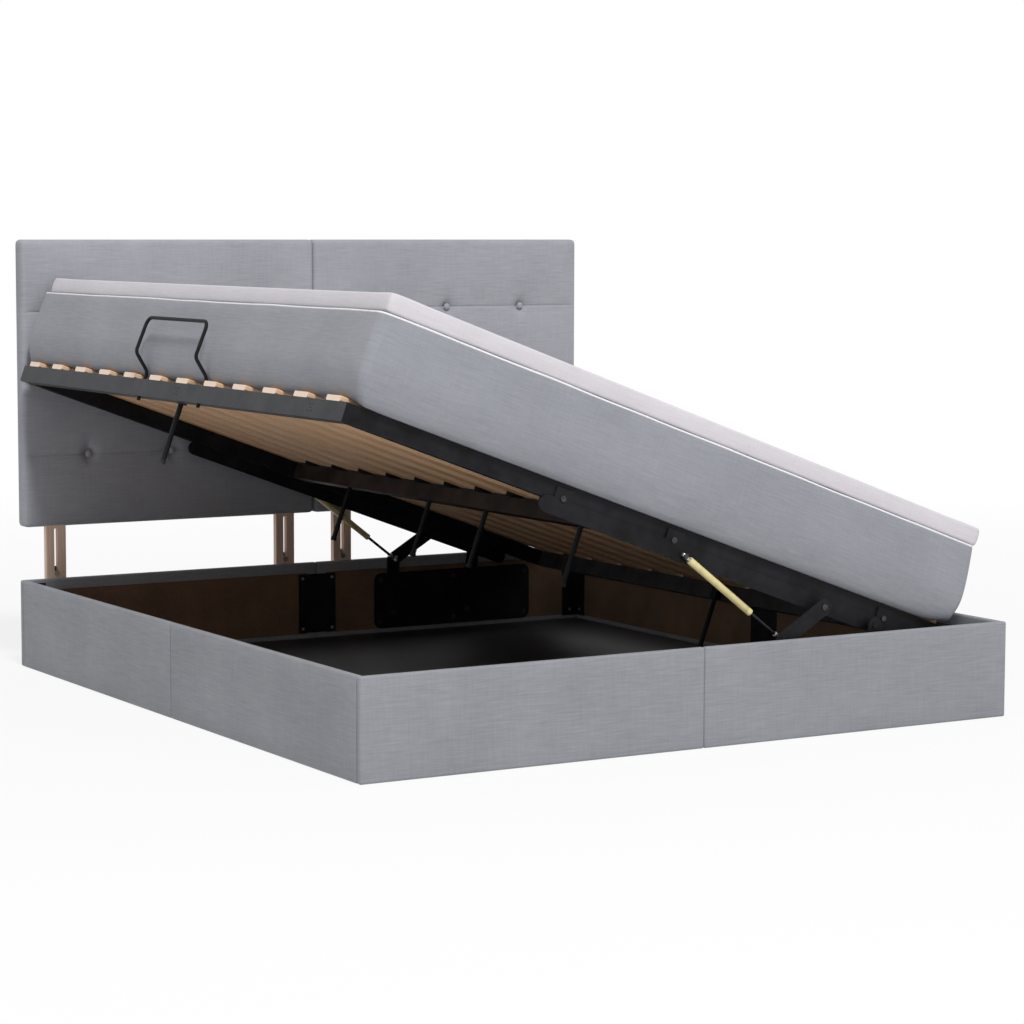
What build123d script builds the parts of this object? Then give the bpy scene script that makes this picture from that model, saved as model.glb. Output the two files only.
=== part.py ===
import os
from math import atan2, cos, degrees, pi, radians, sin

from build123d import *

os.makedirs("parts", exist_ok=True)

# The row frame: X to the right as one faces the headboard, Y towards the head end, Z up,
# origin on the floor in the middle of the box. All lengths are in millimetres.

# Box of upholstered half panels
box_length = 2030
box_width = 1830.6
box_height = 240.7
panel_thickness = 18
cover_skin = 2
cover_turn_in = 30
cover_edge_radius = 4
panel_seam = 0.6
overrun = 5

# Floor of the storage space
floor_board = 5
floor_batten_height = 13
floor_batten_width = 60
floor_gap = 0.4
floor_batten_shares = (-1, -0.5, 0.5, 1)

# Steel fittings inside the box
bracket_leg = 50
bracket_steel = 2.5
bracket_gap = 10
seam_plate_width = 120
seam_plate_margin = 34
screw_head_radius = 5
screw_head_height = 1.6
screw_inset = 12

# Headboards on slotted legs
headboard_inset = 15
headboard_rise = 145.3
headboard_height = 798
headboard_thickness = 47
headboard_overhang = 2
headboard_crown = 7
headboard_bands = 4
headboard_edge_radius = 12
button_radius = 11.5
button_height = 5.5
button_seat_radius = 14.5
button_share = 0.283
leg_width = 58
leg_thickness = 18
leg_tuck = 250
slot_bridge = 22.7
leg_share = 0.104
leg_slot_width = 11
headboard_travel_share = 0.374
bolt_radius = 4
bolt_head_radius = 8
bolt_head_height = 4
upper_bolt_rise = 13
clamp_plate_width = 40
clamp_plate_steel = 3
clamp_plate_margin = 18
seat_gap = 0.3

# Lid frame of square tube, seen in its own plane
lid_angle = 20
lid_open_shift = 72.5
lid_open_rise = 2.2
lid_closed_drop = 10.7
lid_side_gap = 6
lid_end_gap = 40
rail_width = 30
rail_height = 44
rail_wall = 2
slat_thickness = 13
slat_share = 0.421
slat_count = 12
slat_end_gap = 4.75
slat_edge = 2.5
beam_width = 40
holder_base = 2.5
holder_web = 4
holder_reach = 34
holder_lip = 2.5
holder_lip_gap = 0.4
fitting_hole_radius = 2.5
fitting_hole_spread = 16
fitting_hole_shares = (-0.07, -0.83)

# Support legs that stand on the storage floor when the lid is down
support_leg_radius = 6.5
support_foot_radius = 8
support_foot_height = 9
support_floor_gap = 1
support_beam_shares = (-0.637, -0.157, 0.157, 0.637)
support_rail_share = -0.031
support_bracket_reach = 19
support_bracket_width = 26
support_bracket_height = 37

# Wire mattress stop on the long free side
stop_wire_radius = 4
stop_pitch_share = 1.1022
stop_middle_share = -0.021
stop_rail_inset = 8
stop_tail = 10
stop_low_bend = 8
stop_knee_height = 46
stop_knee_reach = 46
stop_top_height = 138
stop_top_reach = 42
stop_corner_radius = 22
stop_bend_radius = 12

# Mattress and topper
mattress_height = 200
mattress_base_inset_left = 20
mattress_base_inset_right = 0
mattress_base_inset_y = -5
mattress_bulge_x = 8
mattress_bulge_y = 38
mattress_droop = 12.6
mattress_droop_margin = 5
mattress_top_x = 1
mattress_top_y = 31
mattress_bulge_share = 0.45
mattress_ring_shares = (0, 0.12, 0.28, 0.45, 0.72, 1)
mattress_corner_radius = 20
piping_radius = 3.6
piping_gap = 0.3
piping_bevel_share = 0.58
topper_height = 50
topper_crown = 1.5
topper_inset_x = 5
topper_inset_y = 4
topper_slide = 9
topper_side_bulge = 3
topper_edge_drop = 3
topper_corner_radius = 12

# Lift gear: pivots are set in from the lid's right edge by a share of its half width
front_pivot_share = 0.44463
rear_pivot_share = 0.25951
strut_pivot_share = 0.92146
pivot_drop = 74
front_base_drop = 240
rear_base_drop = 160
strut_elbow_side = 1.2
strut_elbow_rise = 159.1
lift_bar_steel = 5
lift_bar_height = 40
lift_bar_drop = 70
lift_bar_front = 823
lift_bar_rear = 80
lift_lug_width = 46
lift_lug_drop = 24
lift_lug_shares = (0.035, 0.34, 0.96)
lift_bolt_radius = 8
lift_bolt_height = 3
arm_steel = 4
arm_width = 40
arm_gap = 2
strut_body_radius = 9
strut_body_share = 0.627
strut_body_end = 8
strut_eye_radius = 9
strut_eye_width = 8
strut_neck_radius = 4
strut_rod_radius = 4
strut_rod_gap = 0.2
strut_rod_hidden = 70
strut_end_length = 24
strut_end_radius = 6.5
pin_radius = 5
stud_radius = 4
stud_head_radius = 7
pivot_play = 0.05
axial_gap = 0.3
spacer_radius = 9
pin_head_radius = 9
pin_head_height = 2.8
base_plate_steel = 3
base_plate_front = 57
base_plate_rear = 226
base_plate_foot = 30
base_plate_top_gap = 44.7
base_plate_corner = 24
base_plate_margin = 20
base_bolt_radius = 8
base_bolt_height = 2.2

# Sides of small round bars, bolt heads and buttons
bar_sides = 12
wire_sides = 8
strut_sides = 24
bolt_sides = 6
button_sides = 12

# Worked out from the sizes above
half_length = box_length / 2
half_width = box_width / 2
headboard_bottom = box_height + headboard_rise
inner_length = half_length - panel_thickness
inner_width = half_width - panel_thickness
floor_top = floor_batten_height + floor_board
tilt = radians(lid_angle)
frame_half_width = inner_width - lid_side_gap
frame_half_length = inner_length - lid_end_gap
rail_top = -slat_thickness
rail_bottom = rail_top - rail_height
lid_open_z = box_height + lid_open_rise + frame_half_width * sin(tilt)
lid_closed_z = box_height - lid_closed_drop
lid_x = Vector(cos(tilt), 0, -sin(tilt))
lid_z = Vector(sin(tilt), 0, cos(tilt))
lid_origin = Vector(-lid_open_shift, 0, lid_open_z)
base_plate_face = inner_length - base_plate_steel
strut_layer = frame_half_length + lift_bar_steel + strut_body_radius + arm_gap / 2
arm_inner = strut_layer + strut_body_radius + arm_gap
arm_outer = arm_inner + arm_steel
ends = (("foot", -1), ("head", 1))
sides = (("left", -1), ("right", 1))


def lid_point(x, z):
    """A point of the lid's own side view, in the row frame's X and Z, with the lid up."""
    place = lid_origin + lid_x * x + lid_z * z
    return Vector(place.X, place.Z)


def closed_point(x, z):
    """The same point with the lid down."""
    return Vector(x, lid_closed_z + z)


def base_pivot(opened, closed, drop):
    """The fixed pivot that an arm needs to carry its lid pin from opened to closed."""
    middle = (opened + closed) / 2
    run = closed - opened
    down = Vector(run.Y, -run.X) / run.length
    return middle + down * drop


def lid_plane(x, y, z):
    """A plane that lies flat on the lid."""
    return Plane(origin=lid_origin + lid_x * x + Vector(0, y, 0) + lid_z * z, x_dir=lid_x, z_dir=lid_z)


def lid_layer(y):
    """The lid's side view at a distance y along the bed."""
    return Plane(origin=lid_origin + Vector(0, y, 0), x_dir=lid_x, z_dir=(0, -1, 0))


def lid_end(x):
    """The lid seen along its own X, at a distance x from its middle."""
    return Plane(origin=lid_origin + lid_x * x, x_dir=(0, 1, 0), z_dir=lid_x)


def box_layer(y):
    """The side view of the box at a distance y along the bed."""
    return Plane(origin=(0, y, 0), x_dir=(1, 0, 0), z_dir=(0, -1, 0))


def panel_plane(middle, inward):
    """A plane on the outside of a panel, with its height upright, that looks into the box."""
    return Plane(origin=middle, x_dir=Vector(0, 0, 1).cross(inward), z_dir=inward)


def link(start, end, width):
    """A flat link with round ends between two points of the sketch in hand."""
    run = end - start
    with Locations((start + end) / 2):
        SlotCenterToCenter(run.length, width, rotation=degrees(atan2(run.Y, run.X)))


def finish(part, name):
    """Names a finished piece and writes it."""
    part.label = name
    export_step(part, "parts/" + name + ".step")


# Half panels of the box: each a board in a fabric cover that turns in over the rim
panels = (
    ("side_cover_left_foot", (-half_width, -inner_length / 2, 0), Vector(1, 0, 0), inner_length),
    ("side_cover_left_head", (-half_width, inner_length / 2, 0), Vector(1, 0, 0), inner_length),
    ("side_cover_right_foot", (half_width, -inner_length / 2, 0), Vector(-1, 0, 0), inner_length),
    ("side_cover_right_head", (half_width, inner_length / 2, 0), Vector(-1, 0, 0), inner_length),
    ("foot_cover_left", (-half_width / 2, -half_length, 0), Vector(0, 1, 0), half_width),
    ("foot_cover_right", (half_width / 2, -half_length, 0), Vector(0, 1, 0), half_width),
    ("head_cover_left", (-half_width / 2, half_length, 0), Vector(0, -1, 0), half_width),
    ("head_cover_right", (half_width / 2, half_length, 0), Vector(0, -1, 0), half_width),
)
board_groups = {"side_boards_left": [], "side_boards_right": [], "foot_boards": [], "head_boards": []}
for name, middle, inward, length in panels:
    face = panel_plane(middle, inward)
    run = length - panel_seam
    with BuildPart() as cover:
        with BuildSketch(face):
            with Locations((0, box_height / 2)):
                Rectangle(run, box_height)
        extrude(amount=panel_thickness)
        fillet(cover.edges().filter_by_position(Axis(middle, inward), -overrun, cover_skin), cover_edge_radius)
        with BuildSketch(face.offset(cover_skin)):
            with Locations((0, box_height / 2)):
                Rectangle(run - 2 * cover_skin, box_height - 2 * cover_skin)
        extrude(amount=panel_thickness - 2 * cover_skin, mode=Mode.SUBTRACT)
        with BuildSketch(face.offset(panel_thickness - cover_skin)):
            with Locations((0, box_height / 2)):
                Rectangle(run - 2 * cover_turn_in, box_height - 2 * cover_turn_in)
        extrude(amount=cover_skin, mode=Mode.SUBTRACT)
    finish(cover.part, name)

    with BuildPart() as board:
        with BuildSketch(face.offset(cover_skin)):
            with Locations((0, box_height / 2)):
                Rectangle(run - 2 * cover_skin, box_height - 2 * cover_skin)
        extrude(amount=panel_thickness - 2 * cover_skin)
        with BuildSketch(face.offset(panel_thickness - cover_skin)):
            with Locations((0, box_height / 2)):
                Rectangle(run - 2 * cover_turn_in, box_height - 2 * cover_turn_in)
        extrude(amount=cover_skin)
    for group in board_groups:
        stem = group.split("_boards")
        if name.startswith(stem[0]) and stem[1] in name or name.startswith(stem[0]) and not stem[1]:
            board_groups[group].append(board.part)

for name, pair in board_groups.items():
    finish(Compound(children=pair), name)

# Steel angle in each corner of the box
with BuildPart() as corner_brackets:
    with BuildSketch(Plane.XY.offset(floor_top + bracket_gap)):
        for side_x in (-1, 1):
            for side_y in (-1, 1):
                with Locations(
                    (side_x * (inner_width - bracket_leg / 2), side_y * (inner_length - bracket_steel / 2)),
                ):
                    Rectangle(bracket_leg, bracket_steel)
                with Locations(
                    (side_x * (inner_width - bracket_steel / 2), side_y * (inner_length - bracket_leg / 2)),
                ):
                    Rectangle(bracket_steel, bracket_leg)
    extrude(amount=box_height - floor_top - 2 * bracket_gap)
finish(corner_brackets.part, "corner_brackets")

# Steel plate over the seam of each pair of half panels
with BuildPart() as seam_plates:
    with BuildSketch(Plane.XY.offset(seam_plate_margin)):
        with Locations((-inner_width + bracket_steel / 2, 0), (inner_width - bracket_steel / 2, 0)):
            Rectangle(bracket_steel, seam_plate_width)
        with Locations((0, -inner_length + bracket_steel / 2), (0, inner_length - bracket_steel / 2)):
            Rectangle(seam_plate_width, bracket_steel)
    extrude(amount=box_height - 2 * seam_plate_margin)
finish(seam_plates.part, "seam_plates")

# Screws of the seam plates and corner brackets
screw_heights = (seam_plate_margin + screw_inset, box_height - seam_plate_margin - screw_inset)
plate_spread = seam_plate_width / 2 - screw_inset
screw_faces = (
    (Vector(-inner_width + bracket_steel, 0, 0), Vector(1, 0, 0), inner_length),
    (Vector(inner_width - bracket_steel, 0, 0), Vector(-1, 0, 0), inner_length),
    (Vector(0, -inner_length + bracket_steel, 0), Vector(0, 1, 0), inner_width),
    (Vector(0, inner_length - bracket_steel, 0), Vector(0, -1, 0), inner_width),
)
with BuildPart() as panel_screws:
    for middle, inward, reach in screw_faces:
        corner_spread = reach - bracket_leg / 2
        places = [(u, v) for u in (-corner_spread, -plate_spread, plate_spread, corner_spread) for v in screw_heights]
        with BuildSketch(panel_plane(middle, inward)):
            with Locations(*places):
                RegularPolygon(screw_head_radius, bolt_sides)
        extrude(amount=screw_head_height)
finish(panel_screws.part, "panel_screws")

# Floor of the storage space: four boards on battens that lie on the ground
batten_run = 2 * (inner_length - floor_gap)
batten_reach = inner_width - floor_gap - floor_batten_width / 2
with BuildPart() as floor_batten_middle:
    with BuildSketch(Plane.XY):
        Rectangle(floor_batten_width, batten_run)
    extrude(amount=floor_batten_height)
finish(floor_batten_middle.part, "floor_batten_middle")

with BuildPart() as floor_battens_side:
    with BuildSketch(Plane.XY):
        with Locations(*[(share * batten_reach, 0) for share in floor_batten_shares]):
            Rectangle(floor_batten_width, batten_run)
    extrude(amount=floor_batten_height)
finish(floor_battens_side.part, "floor_battens_side")

for side_name, side in sides:
    for end_name, end in ends:
        with BuildPart() as floor_panel:
            with BuildSketch(Plane.XY.offset(floor_batten_height)):
                with Locations((side * inner_width / 2, end * inner_length / 2)):
                    Rectangle(inner_width - 2 * floor_gap, inner_length - 2 * floor_gap)
            extrude(amount=floor_board)
        finish(floor_panel.part, "floor_board_" + side_name + "_" + end_name)

# Headboards: four crowned bands with sewn grooves between them, and tufted buttons in two grooves
headboard_width = half_width - headboard_inset - panel_seam
headboard_middle = (headboard_width + panel_seam) / 2
band = headboard_height / headboard_bands
groove_front = half_length - headboard_overhang
headboard_back = groove_front + headboard_thickness
crown_front = groove_front - headboard_crown
buttoned = (headboard_bottom + band, headboard_bottom + band * (headboard_bands - 1))
leg_front = half_length + seat_gap
leg_spread = headboard_width * (1 - 2 * leg_share) / 2
button_spread = headboard_width * button_share
upper_bolt = box_height + upper_bolt_rise
headboard_travel = box_height * headboard_travel_share
lower_bolt = upper_bolt - headboard_travel - slot_bridge
leg_floor_gap = lower_bolt - clamp_plate_margin - bolt_head_radius
upper_slot = headboard_bottom - upper_bolt - leg_slot_width
leg_slots = ((lower_bolt, headboard_travel), (upper_bolt, upper_slot))
all_legs = [side * headboard_middle + turn * leg_spread for name, side in sides for turn in (-1, 1)]
for side_name, side in sides:
    middle = side * headboard_middle
    legs_x = [middle - leg_spread, middle + leg_spread]
    button_places = [(middle + turn * button_spread, z) for turn in (-1, 0, 1) for z in buttoned]
    with BuildPart() as headboard:
        with BuildSketch(Plane.YZ.offset(middle - headboard_width / 2)):
            with BuildLine():
                for n in range(headboard_bands):
                    low = headboard_bottom + band * n
                    ThreePointArc((groove_front, low), (crown_front, low + band / 2), (groove_front, low + band))
                Polyline(
                    (groove_front, headboard_bottom + headboard_height),
                    (headboard_back, headboard_bottom + headboard_height),
                    (headboard_back, headboard_bottom),
                    (groove_front, headboard_bottom),
                )
            make_face()
        extrude(amount=headboard_width)
        with BuildSketch(Plane.XY.offset(headboard_bottom)):
            with Locations((middle, (headboard_back + crown_front) / 2)):
                RectangleRounded(headboard_width, headboard_back - crown_front, headboard_edge_radius)
        extrude(amount=headboard_height, mode=Mode.INTERSECT)
        with BuildSketch(Plane.XZ.offset(-crown_front)):
            with Locations(*button_places):
                RegularPolygon(button_seat_radius, button_sides)
        extrude(amount=-headboard_crown, mode=Mode.SUBTRACT)
        with BuildSketch(Plane.XY.offset(headboard_bottom)):
            with Locations(*[(x, leg_front + leg_thickness / 2) for x in legs_x]):
                Rectangle(leg_width, leg_thickness)
        extrude(amount=leg_tuck, mode=Mode.SUBTRACT)
    finish(headboard.part, "headboard_" + side_name)

    with BuildPart() as buttons:
        with BuildSketch(Plane.XZ.offset(-groove_front)):
            with Locations(*button_places):
                RegularPolygon(button_radius, button_sides)
        extrude(amount=button_height, taper=35)
    finish(buttons.part, "headboard_buttons_" + side_name)

    with BuildPart() as legs:
        with BuildSketch(Plane.XY.offset(leg_floor_gap)):
            with Locations(*[(x, leg_front + leg_thickness / 2) for x in legs_x]):
                Rectangle(leg_width, leg_thickness)
        extrude(amount=headboard_bottom + leg_tuck - leg_floor_gap)
        with BuildSketch(Plane.XZ.offset(-leg_front)):
            for start, run in leg_slots:
                with Locations(*[(x, start + run / 2) for x in legs_x]):
                    SlotCenterToCenter(run, leg_slot_width, rotation=90)
        extrude(amount=-leg_thickness, mode=Mode.SUBTRACT)
    finish(legs.part, "headboard_legs_" + side_name)

# Clamp plates and bolts that hold the headboard legs to the head panels
clamp_front = leg_front + leg_thickness + seat_gap
clamp_back = clamp_front + clamp_plate_steel
clamp_run = upper_bolt - lower_bolt + 2 * clamp_plate_margin
with BuildPart() as clamp_plates:
    with BuildSketch(Plane.XZ.offset(-clamp_front)):
        with Locations(*[(x, (lower_bolt + upper_bolt) / 2) for x in all_legs]):
            Rectangle(clamp_plate_width, clamp_run)
        with Locations(*[(x, z) for x in all_legs for z in (lower_bolt, upper_bolt)]):
            RegularPolygon(bolt_radius, bar_sides, mode=Mode.SUBTRACT)
    extrude(amount=-clamp_plate_steel)
finish(clamp_plates.part, "clamp_plates")

with BuildPart() as headboard_bolts:
    with BuildSketch(Plane.XZ.offset(-half_length)):
        with Locations(*[(x, lower_bolt) for x in all_legs]):
            RegularPolygon(bolt_radius, bar_sides)
    extrude(amount=half_length - clamp_back)
    with BuildSketch(Plane.XZ.offset(-half_length)):
        with Locations(*[(x, upper_bolt) for x in all_legs]):
            RegularPolygon(bolt_radius, bar_sides)
    extrude(amount=half_length - clamp_back)
    with BuildSketch(Plane.XZ.offset(-half_length)):
        with Locations(*[(x, upper_bolt) for x in all_legs]):
            RegularPolygon(bolt_head_radius, bolt_sides)
    extrude(amount=bolt_head_height)
    with BuildSketch(Plane.XZ.offset(-clamp_back)):
        with Locations(*[(x, z) for x in all_legs for z in (lower_bolt, upper_bolt)]):
            RegularPolygon(bolt_head_radius, bolt_sides)
    extrude(amount=-bolt_head_height)
finish(headboard_bolts.part, "headboard_bolts")

# Lid frame: four mitred tubes
inner_half_length = frame_half_length - rail_width
inner_half_width = frame_half_width - rail_width
slat_pitch = 2 * (inner_half_length - slat_end_gap) / (slat_count - 1 + slat_share)
slat_width = slat_pitch * slat_share
slat_reach = slat_pitch * (slat_count - 1) / 2
stop_half_width = slat_pitch * stop_pitch_share
rail_middle = rail_top - rail_height / 2
for side_name, side in sides:
    with BuildPart() as rail:
        with BuildSketch(lid_layer(frame_half_length)):
            with Locations((side * (frame_half_width - rail_width / 2), rail_middle)):
                Rectangle(rail_width, rail_height)
                Rectangle(rail_width - 2 * rail_wall, rail_height - 2 * rail_wall, mode=Mode.SUBTRACT)
        extrude(amount=2 * frame_half_length)
        for end_name, end in ends:
            corner = lid_plane(side * frame_half_width, end * frame_half_length, rail_middle).origin
            split(bisect_by=Plane(origin=corner, z_dir=lid_x * side - Vector(0, end, 0)), keep=Keep.TOP)
        if side < 0:
            with BuildSketch(lid_end(-frame_half_width)):
                for share in fitting_hole_shares:
                    with Locations((share * frame_half_length, rail_middle)):
                        with GridLocations(fitting_hole_spread, fitting_hole_spread, 2, 2):
                            RegularPolygon(fitting_hole_radius, bolt_sides)
                        RegularPolygon(fitting_hole_radius, bolt_sides)
            extrude(amount=rail_wall, mode=Mode.SUBTRACT)
            stop_x = -frame_half_width + stop_rail_inset
            stop_middle = stop_middle_share * frame_half_length
            with BuildSketch(lid_plane(0, 0, rail_top)):
                with Locations(*[(stop_x, stop_middle + turn * stop_half_width) for turn in (-1, 1)]):
                    RegularPolygon(stop_wire_radius + pivot_play, wire_sides)
            extrude(amount=-rail_height, mode=Mode.SUBTRACT)
    finish(rail.part, "lid_rail_" + side_name)

for end_name, end in ends:
    with BuildPart() as rail:
        with BuildSketch(lid_end(-frame_half_width)):
            with Locations((end * (frame_half_length - rail_width / 2), rail_middle)):
                Rectangle(rail_width, rail_height)
                Rectangle(rail_width - 2 * rail_wall, rail_height - 2 * rail_wall, mode=Mode.SUBTRACT)
        extrude(amount=2 * frame_half_width)
        for side_name, side in sides:
            corner = lid_plane(side * frame_half_width, end * frame_half_length, rail_middle).origin
            split(bisect_by=Plane(origin=corner, z_dir=Vector(0, end, 0) - lid_x * side), keep=Keep.TOP)
    finish(rail.part, "lid_rail_" + end_name)

beam_top = rail_top - holder_base
with BuildPart() as middle_beam:
    with BuildSketch(lid_layer(inner_half_length)):
        with Locations((0, (beam_top + rail_bottom) / 2)):
            Rectangle(beam_width, beam_top - rail_bottom)
            Rectangle(beam_width - 2 * rail_wall, beam_top - rail_bottom - 2 * rail_wall, mode=Mode.SUBTRACT)
    extrude(amount=2 * inner_half_length)
finish(middle_beam.part, "middle_beam")

# Sprung slats in two fields, and the plastic holders that join them on the middle beam
slat_places = [slat_pitch * n - slat_reach for n in range(slat_count)]
slat_inner = holder_web / 2 + holder_lip_gap
for side_name, side in sides:
    with BuildPart() as slats:
        with BuildSketch(lid_end(min(side * slat_inner, side * frame_half_width))) as slat_ends:
            with Locations(*[(y, -slat_thickness / 2) for y in slat_places]):
                Rectangle(slat_width, slat_thickness)
            chamfer(slat_ends.vertices(), slat_edge)
        extrude(amount=frame_half_width - slat_inner)
    finish(slats.part, "slats_" + side_name)

lip_place = slat_width / 2 + holder_lip_gap + holder_lip / 2
holder_width = slat_width + 2 * (holder_lip + holder_lip_gap)
with BuildPart() as slat_holders:
    with BuildSketch(lid_plane(0, 0, beam_top)):
        with Locations(*[(0, y) for y in slat_places]):
            Rectangle(2 * holder_reach, holder_width)
    extrude(amount=holder_base)
    with BuildSketch(lid_plane(0, 0, rail_top)):
        with Locations(*[(0, y) for y in slat_places]):
            Rectangle(holder_web, slat_width)
        with Locations(*[(0, y + turn * lip_place) for y in slat_places for turn in (-1, 1)]):
            Rectangle(2 * holder_reach, holder_lip)
    extrude(amount=slat_thickness - holder_lip)
finish(slat_holders.part, "slat_holders")

# Support legs under the middle beam and on the long rails, with rubber feet
support_foot_end = floor_top + support_floor_gap - lid_closed_z
support_leg_end = support_foot_end + support_foot_height
rail_leg_x = inner_half_width - support_bracket_reach / 2
rail_leg_y = support_rail_share * frame_half_length
support_places = [(0, share * frame_half_length) for share in support_beam_shares]
support_places += [(-rail_leg_x, rail_leg_y), (rail_leg_x, rail_leg_y)]
with BuildPart() as support_legs:
    with BuildSketch(lid_plane(0, 0, rail_bottom)):
        with Locations(*support_places):
            RegularPolygon(support_leg_radius, bar_sides)
    extrude(amount=support_leg_end - rail_bottom)
    with BuildSketch(lid_plane(0, 0, rail_bottom)):
        with Locations((-rail_leg_x, rail_leg_y), (rail_leg_x, rail_leg_y)):
            Rectangle(support_bracket_reach, support_bracket_width)
    extrude(amount=support_bracket_height)
finish(support_legs.part, "support_legs")

with BuildPart() as support_feet:
    with BuildSketch(lid_plane(0, 0, support_foot_end)):
        with Locations(*support_places):
            RegularPolygon(support_foot_radius, bar_sides)
    extrude(amount=support_foot_height)
finish(support_feet.part, "support_feet")

# Wire mattress stop, bent from one rod, with its tails through the left rail
stop_rise = (
    (0, rail_bottom - stop_tail),
    (0, stop_low_bend),
    (-stop_knee_reach, stop_knee_height),
    (-stop_top_reach, stop_top_height),
)
stop_route = [lid_plane(stop_x + x, stop_middle + stop_half_width, z).origin for x, z in stop_rise]
stop_route += [lid_plane(stop_x + x, stop_middle - stop_half_width, z).origin for x, z in reversed(stop_rise)]
stop_radii = [stop_bend_radius, stop_bend_radius, stop_corner_radius]
stop_radii += stop_radii[::-1]
with BuildPart() as mattress_stop:
    with BuildLine():
        FilletPolyline(*stop_route, radius=stop_radii)
    with BuildSketch(Plane(origin=stop_route[0], x_dir=lid_x, z_dir=lid_z)):
        RegularPolygon(stop_wire_radius, wire_sides)
    sweep()
finish(mattress_stop.part, "mattress_stop")

# Mattress: drawn in at its base, bulging sides, ends that sag onto the end rails, and a step
# at its top edge for the corded seam
mattress_top_half_width = frame_half_width + mattress_top_x
mattress_top_half_length = frame_half_length + mattress_top_y


def mattress_reach(share, base, bulge, top):
    """How far a side of the mattress reaches at a share of its height."""
    if share < mattress_bulge_share:
        return base + (bulge - base) * sin(pi / 2 * share / mattress_bulge_share)
    return top + (bulge - top) * cos(pi / 2 * (share - mattress_bulge_share) / (1 - mattress_bulge_share))


piping_step = 2 * (piping_radius + piping_gap)
droop_start = slat_reach + slat_width / 2 + mattress_droop_margin
droop_run = frame_half_length - mattress_base_inset_y - droop_start
droop_middle = droop_start + droop_run / 2
droop_half_width = frame_half_width - mattress_base_inset_left - mattress_corner_radius
with BuildPart() as mattress:
    for share in mattress_ring_shares:
        reach_left = mattress_reach(share, -mattress_base_inset_left, mattress_bulge_x, mattress_top_x)
        reach_right = mattress_reach(share, -mattress_base_inset_right, mattress_bulge_x, mattress_top_x)
        reach_y = mattress_reach(share, -mattress_base_inset_y, mattress_bulge_y, mattress_top_y)
        with BuildSketch(lid_plane((reach_right - reach_left) / 2, 0, share * mattress_height)):
            RectangleRounded(
                2 * frame_half_width + reach_left + reach_right,
                2 * (frame_half_length + reach_y),
                mattress_corner_radius,
            )
    loft(ruled=True)
    with BuildSketch(lid_plane(0, 0, -mattress_droop)):
        with Locations((0, -droop_middle), (0, droop_middle)):
            Rectangle(2 * droop_half_width, droop_run)
    extrude(amount=mattress_droop)
    with BuildSketch(lid_plane(0, 0, mattress_height)):
        Rectangle(2 * mattress_top_half_width + overrun, 2 * mattress_top_half_length + overrun)
        RectangleRounded(
            2 * (mattress_top_half_width - piping_step),
            2 * (mattress_top_half_length - piping_step),
            mattress_corner_radius - piping_step,
            mode=Mode.SUBTRACT,
        )
    extrude(amount=-piping_step, mode=Mode.SUBTRACT)
finish(mattress.part, "mattress")

piping_outer_x = mattress_top_half_width - piping_gap
piping_outer_y = mattress_top_half_length - piping_gap
piping_outer_radius = mattress_corner_radius - piping_gap
with BuildPart() as mattress_piping:
    with BuildSketch(lid_plane(0, 0, mattress_height - piping_step / 2)):
        RectangleRounded(2 * piping_outer_x, 2 * piping_outer_y, piping_outer_radius)
        RectangleRounded(
            2 * (piping_outer_x - 2 * piping_radius),
            2 * (piping_outer_y - 2 * piping_radius),
            piping_outer_radius - 2 * piping_radius,
            mode=Mode.SUBTRACT,
        )
    extrude(amount=piping_radius, both=True)
    chamfer(mattress_piping.edges(), piping_radius * piping_bevel_share)
finish(mattress_piping.part, "mattress_piping")


# Topper: a thin soft pad with a low crown
def topper_profile(base, height):
    """The outline across the topper."""
    with BuildSketch() as outline:
        with BuildLine():
            side = ThreePointArc(
                (base, 0),
                (base + topper_side_bulge, (height - topper_edge_drop) / 2),
                (base, height - topper_edge_drop),
            )
            crown = ThreePointArc(side @ 1, (base / 2, height - topper_crown / 2), (0, height))
            Polyline(crown @ 1, (0, 0), side @ 0)
        make_face()
        mirror(about=Plane.YZ)
    return outline.sketch


topper_half_width = mattress_top_half_width - topper_inset_x
topper_half_length = mattress_top_half_length - topper_inset_y
topper_reach_x = topper_half_width + topper_side_bulge
topper_reach_y = topper_half_length + topper_side_bulge
topper_cut_x = topper_reach_x + overrun
topper_cut_y = topper_reach_y + overrun
topper_base = lid_z * mattress_height + lid_x * topper_slide
with BuildPart() as topper:
    with BuildSketch(Plane(origin=lid_layer(topper_reach_y).origin + topper_base, x_dir=lid_x, z_dir=(0, -1, 0))):
        add(topper_profile(topper_half_width, topper_height))
    extrude(amount=2 * topper_reach_y)
    with BuildSketch(Plane(origin=lid_end(-topper_cut_x).origin + topper_base, x_dir=(0, 1, 0), z_dir=lid_x)):
        add(topper_profile(topper_half_length, topper_height))
    extrude(amount=2 * topper_cut_x, mode=Mode.INTERSECT)
    with BuildSketch(lid_plane(topper_slide, 0, mattress_height)):
        RectangleRounded(2 * topper_cut_x, 2 * topper_cut_y, topper_corner_radius + overrun)
    extrude(amount=topper_height + overrun, mode=Mode.INTERSECT)
finish(topper.part, "topper")

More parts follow.
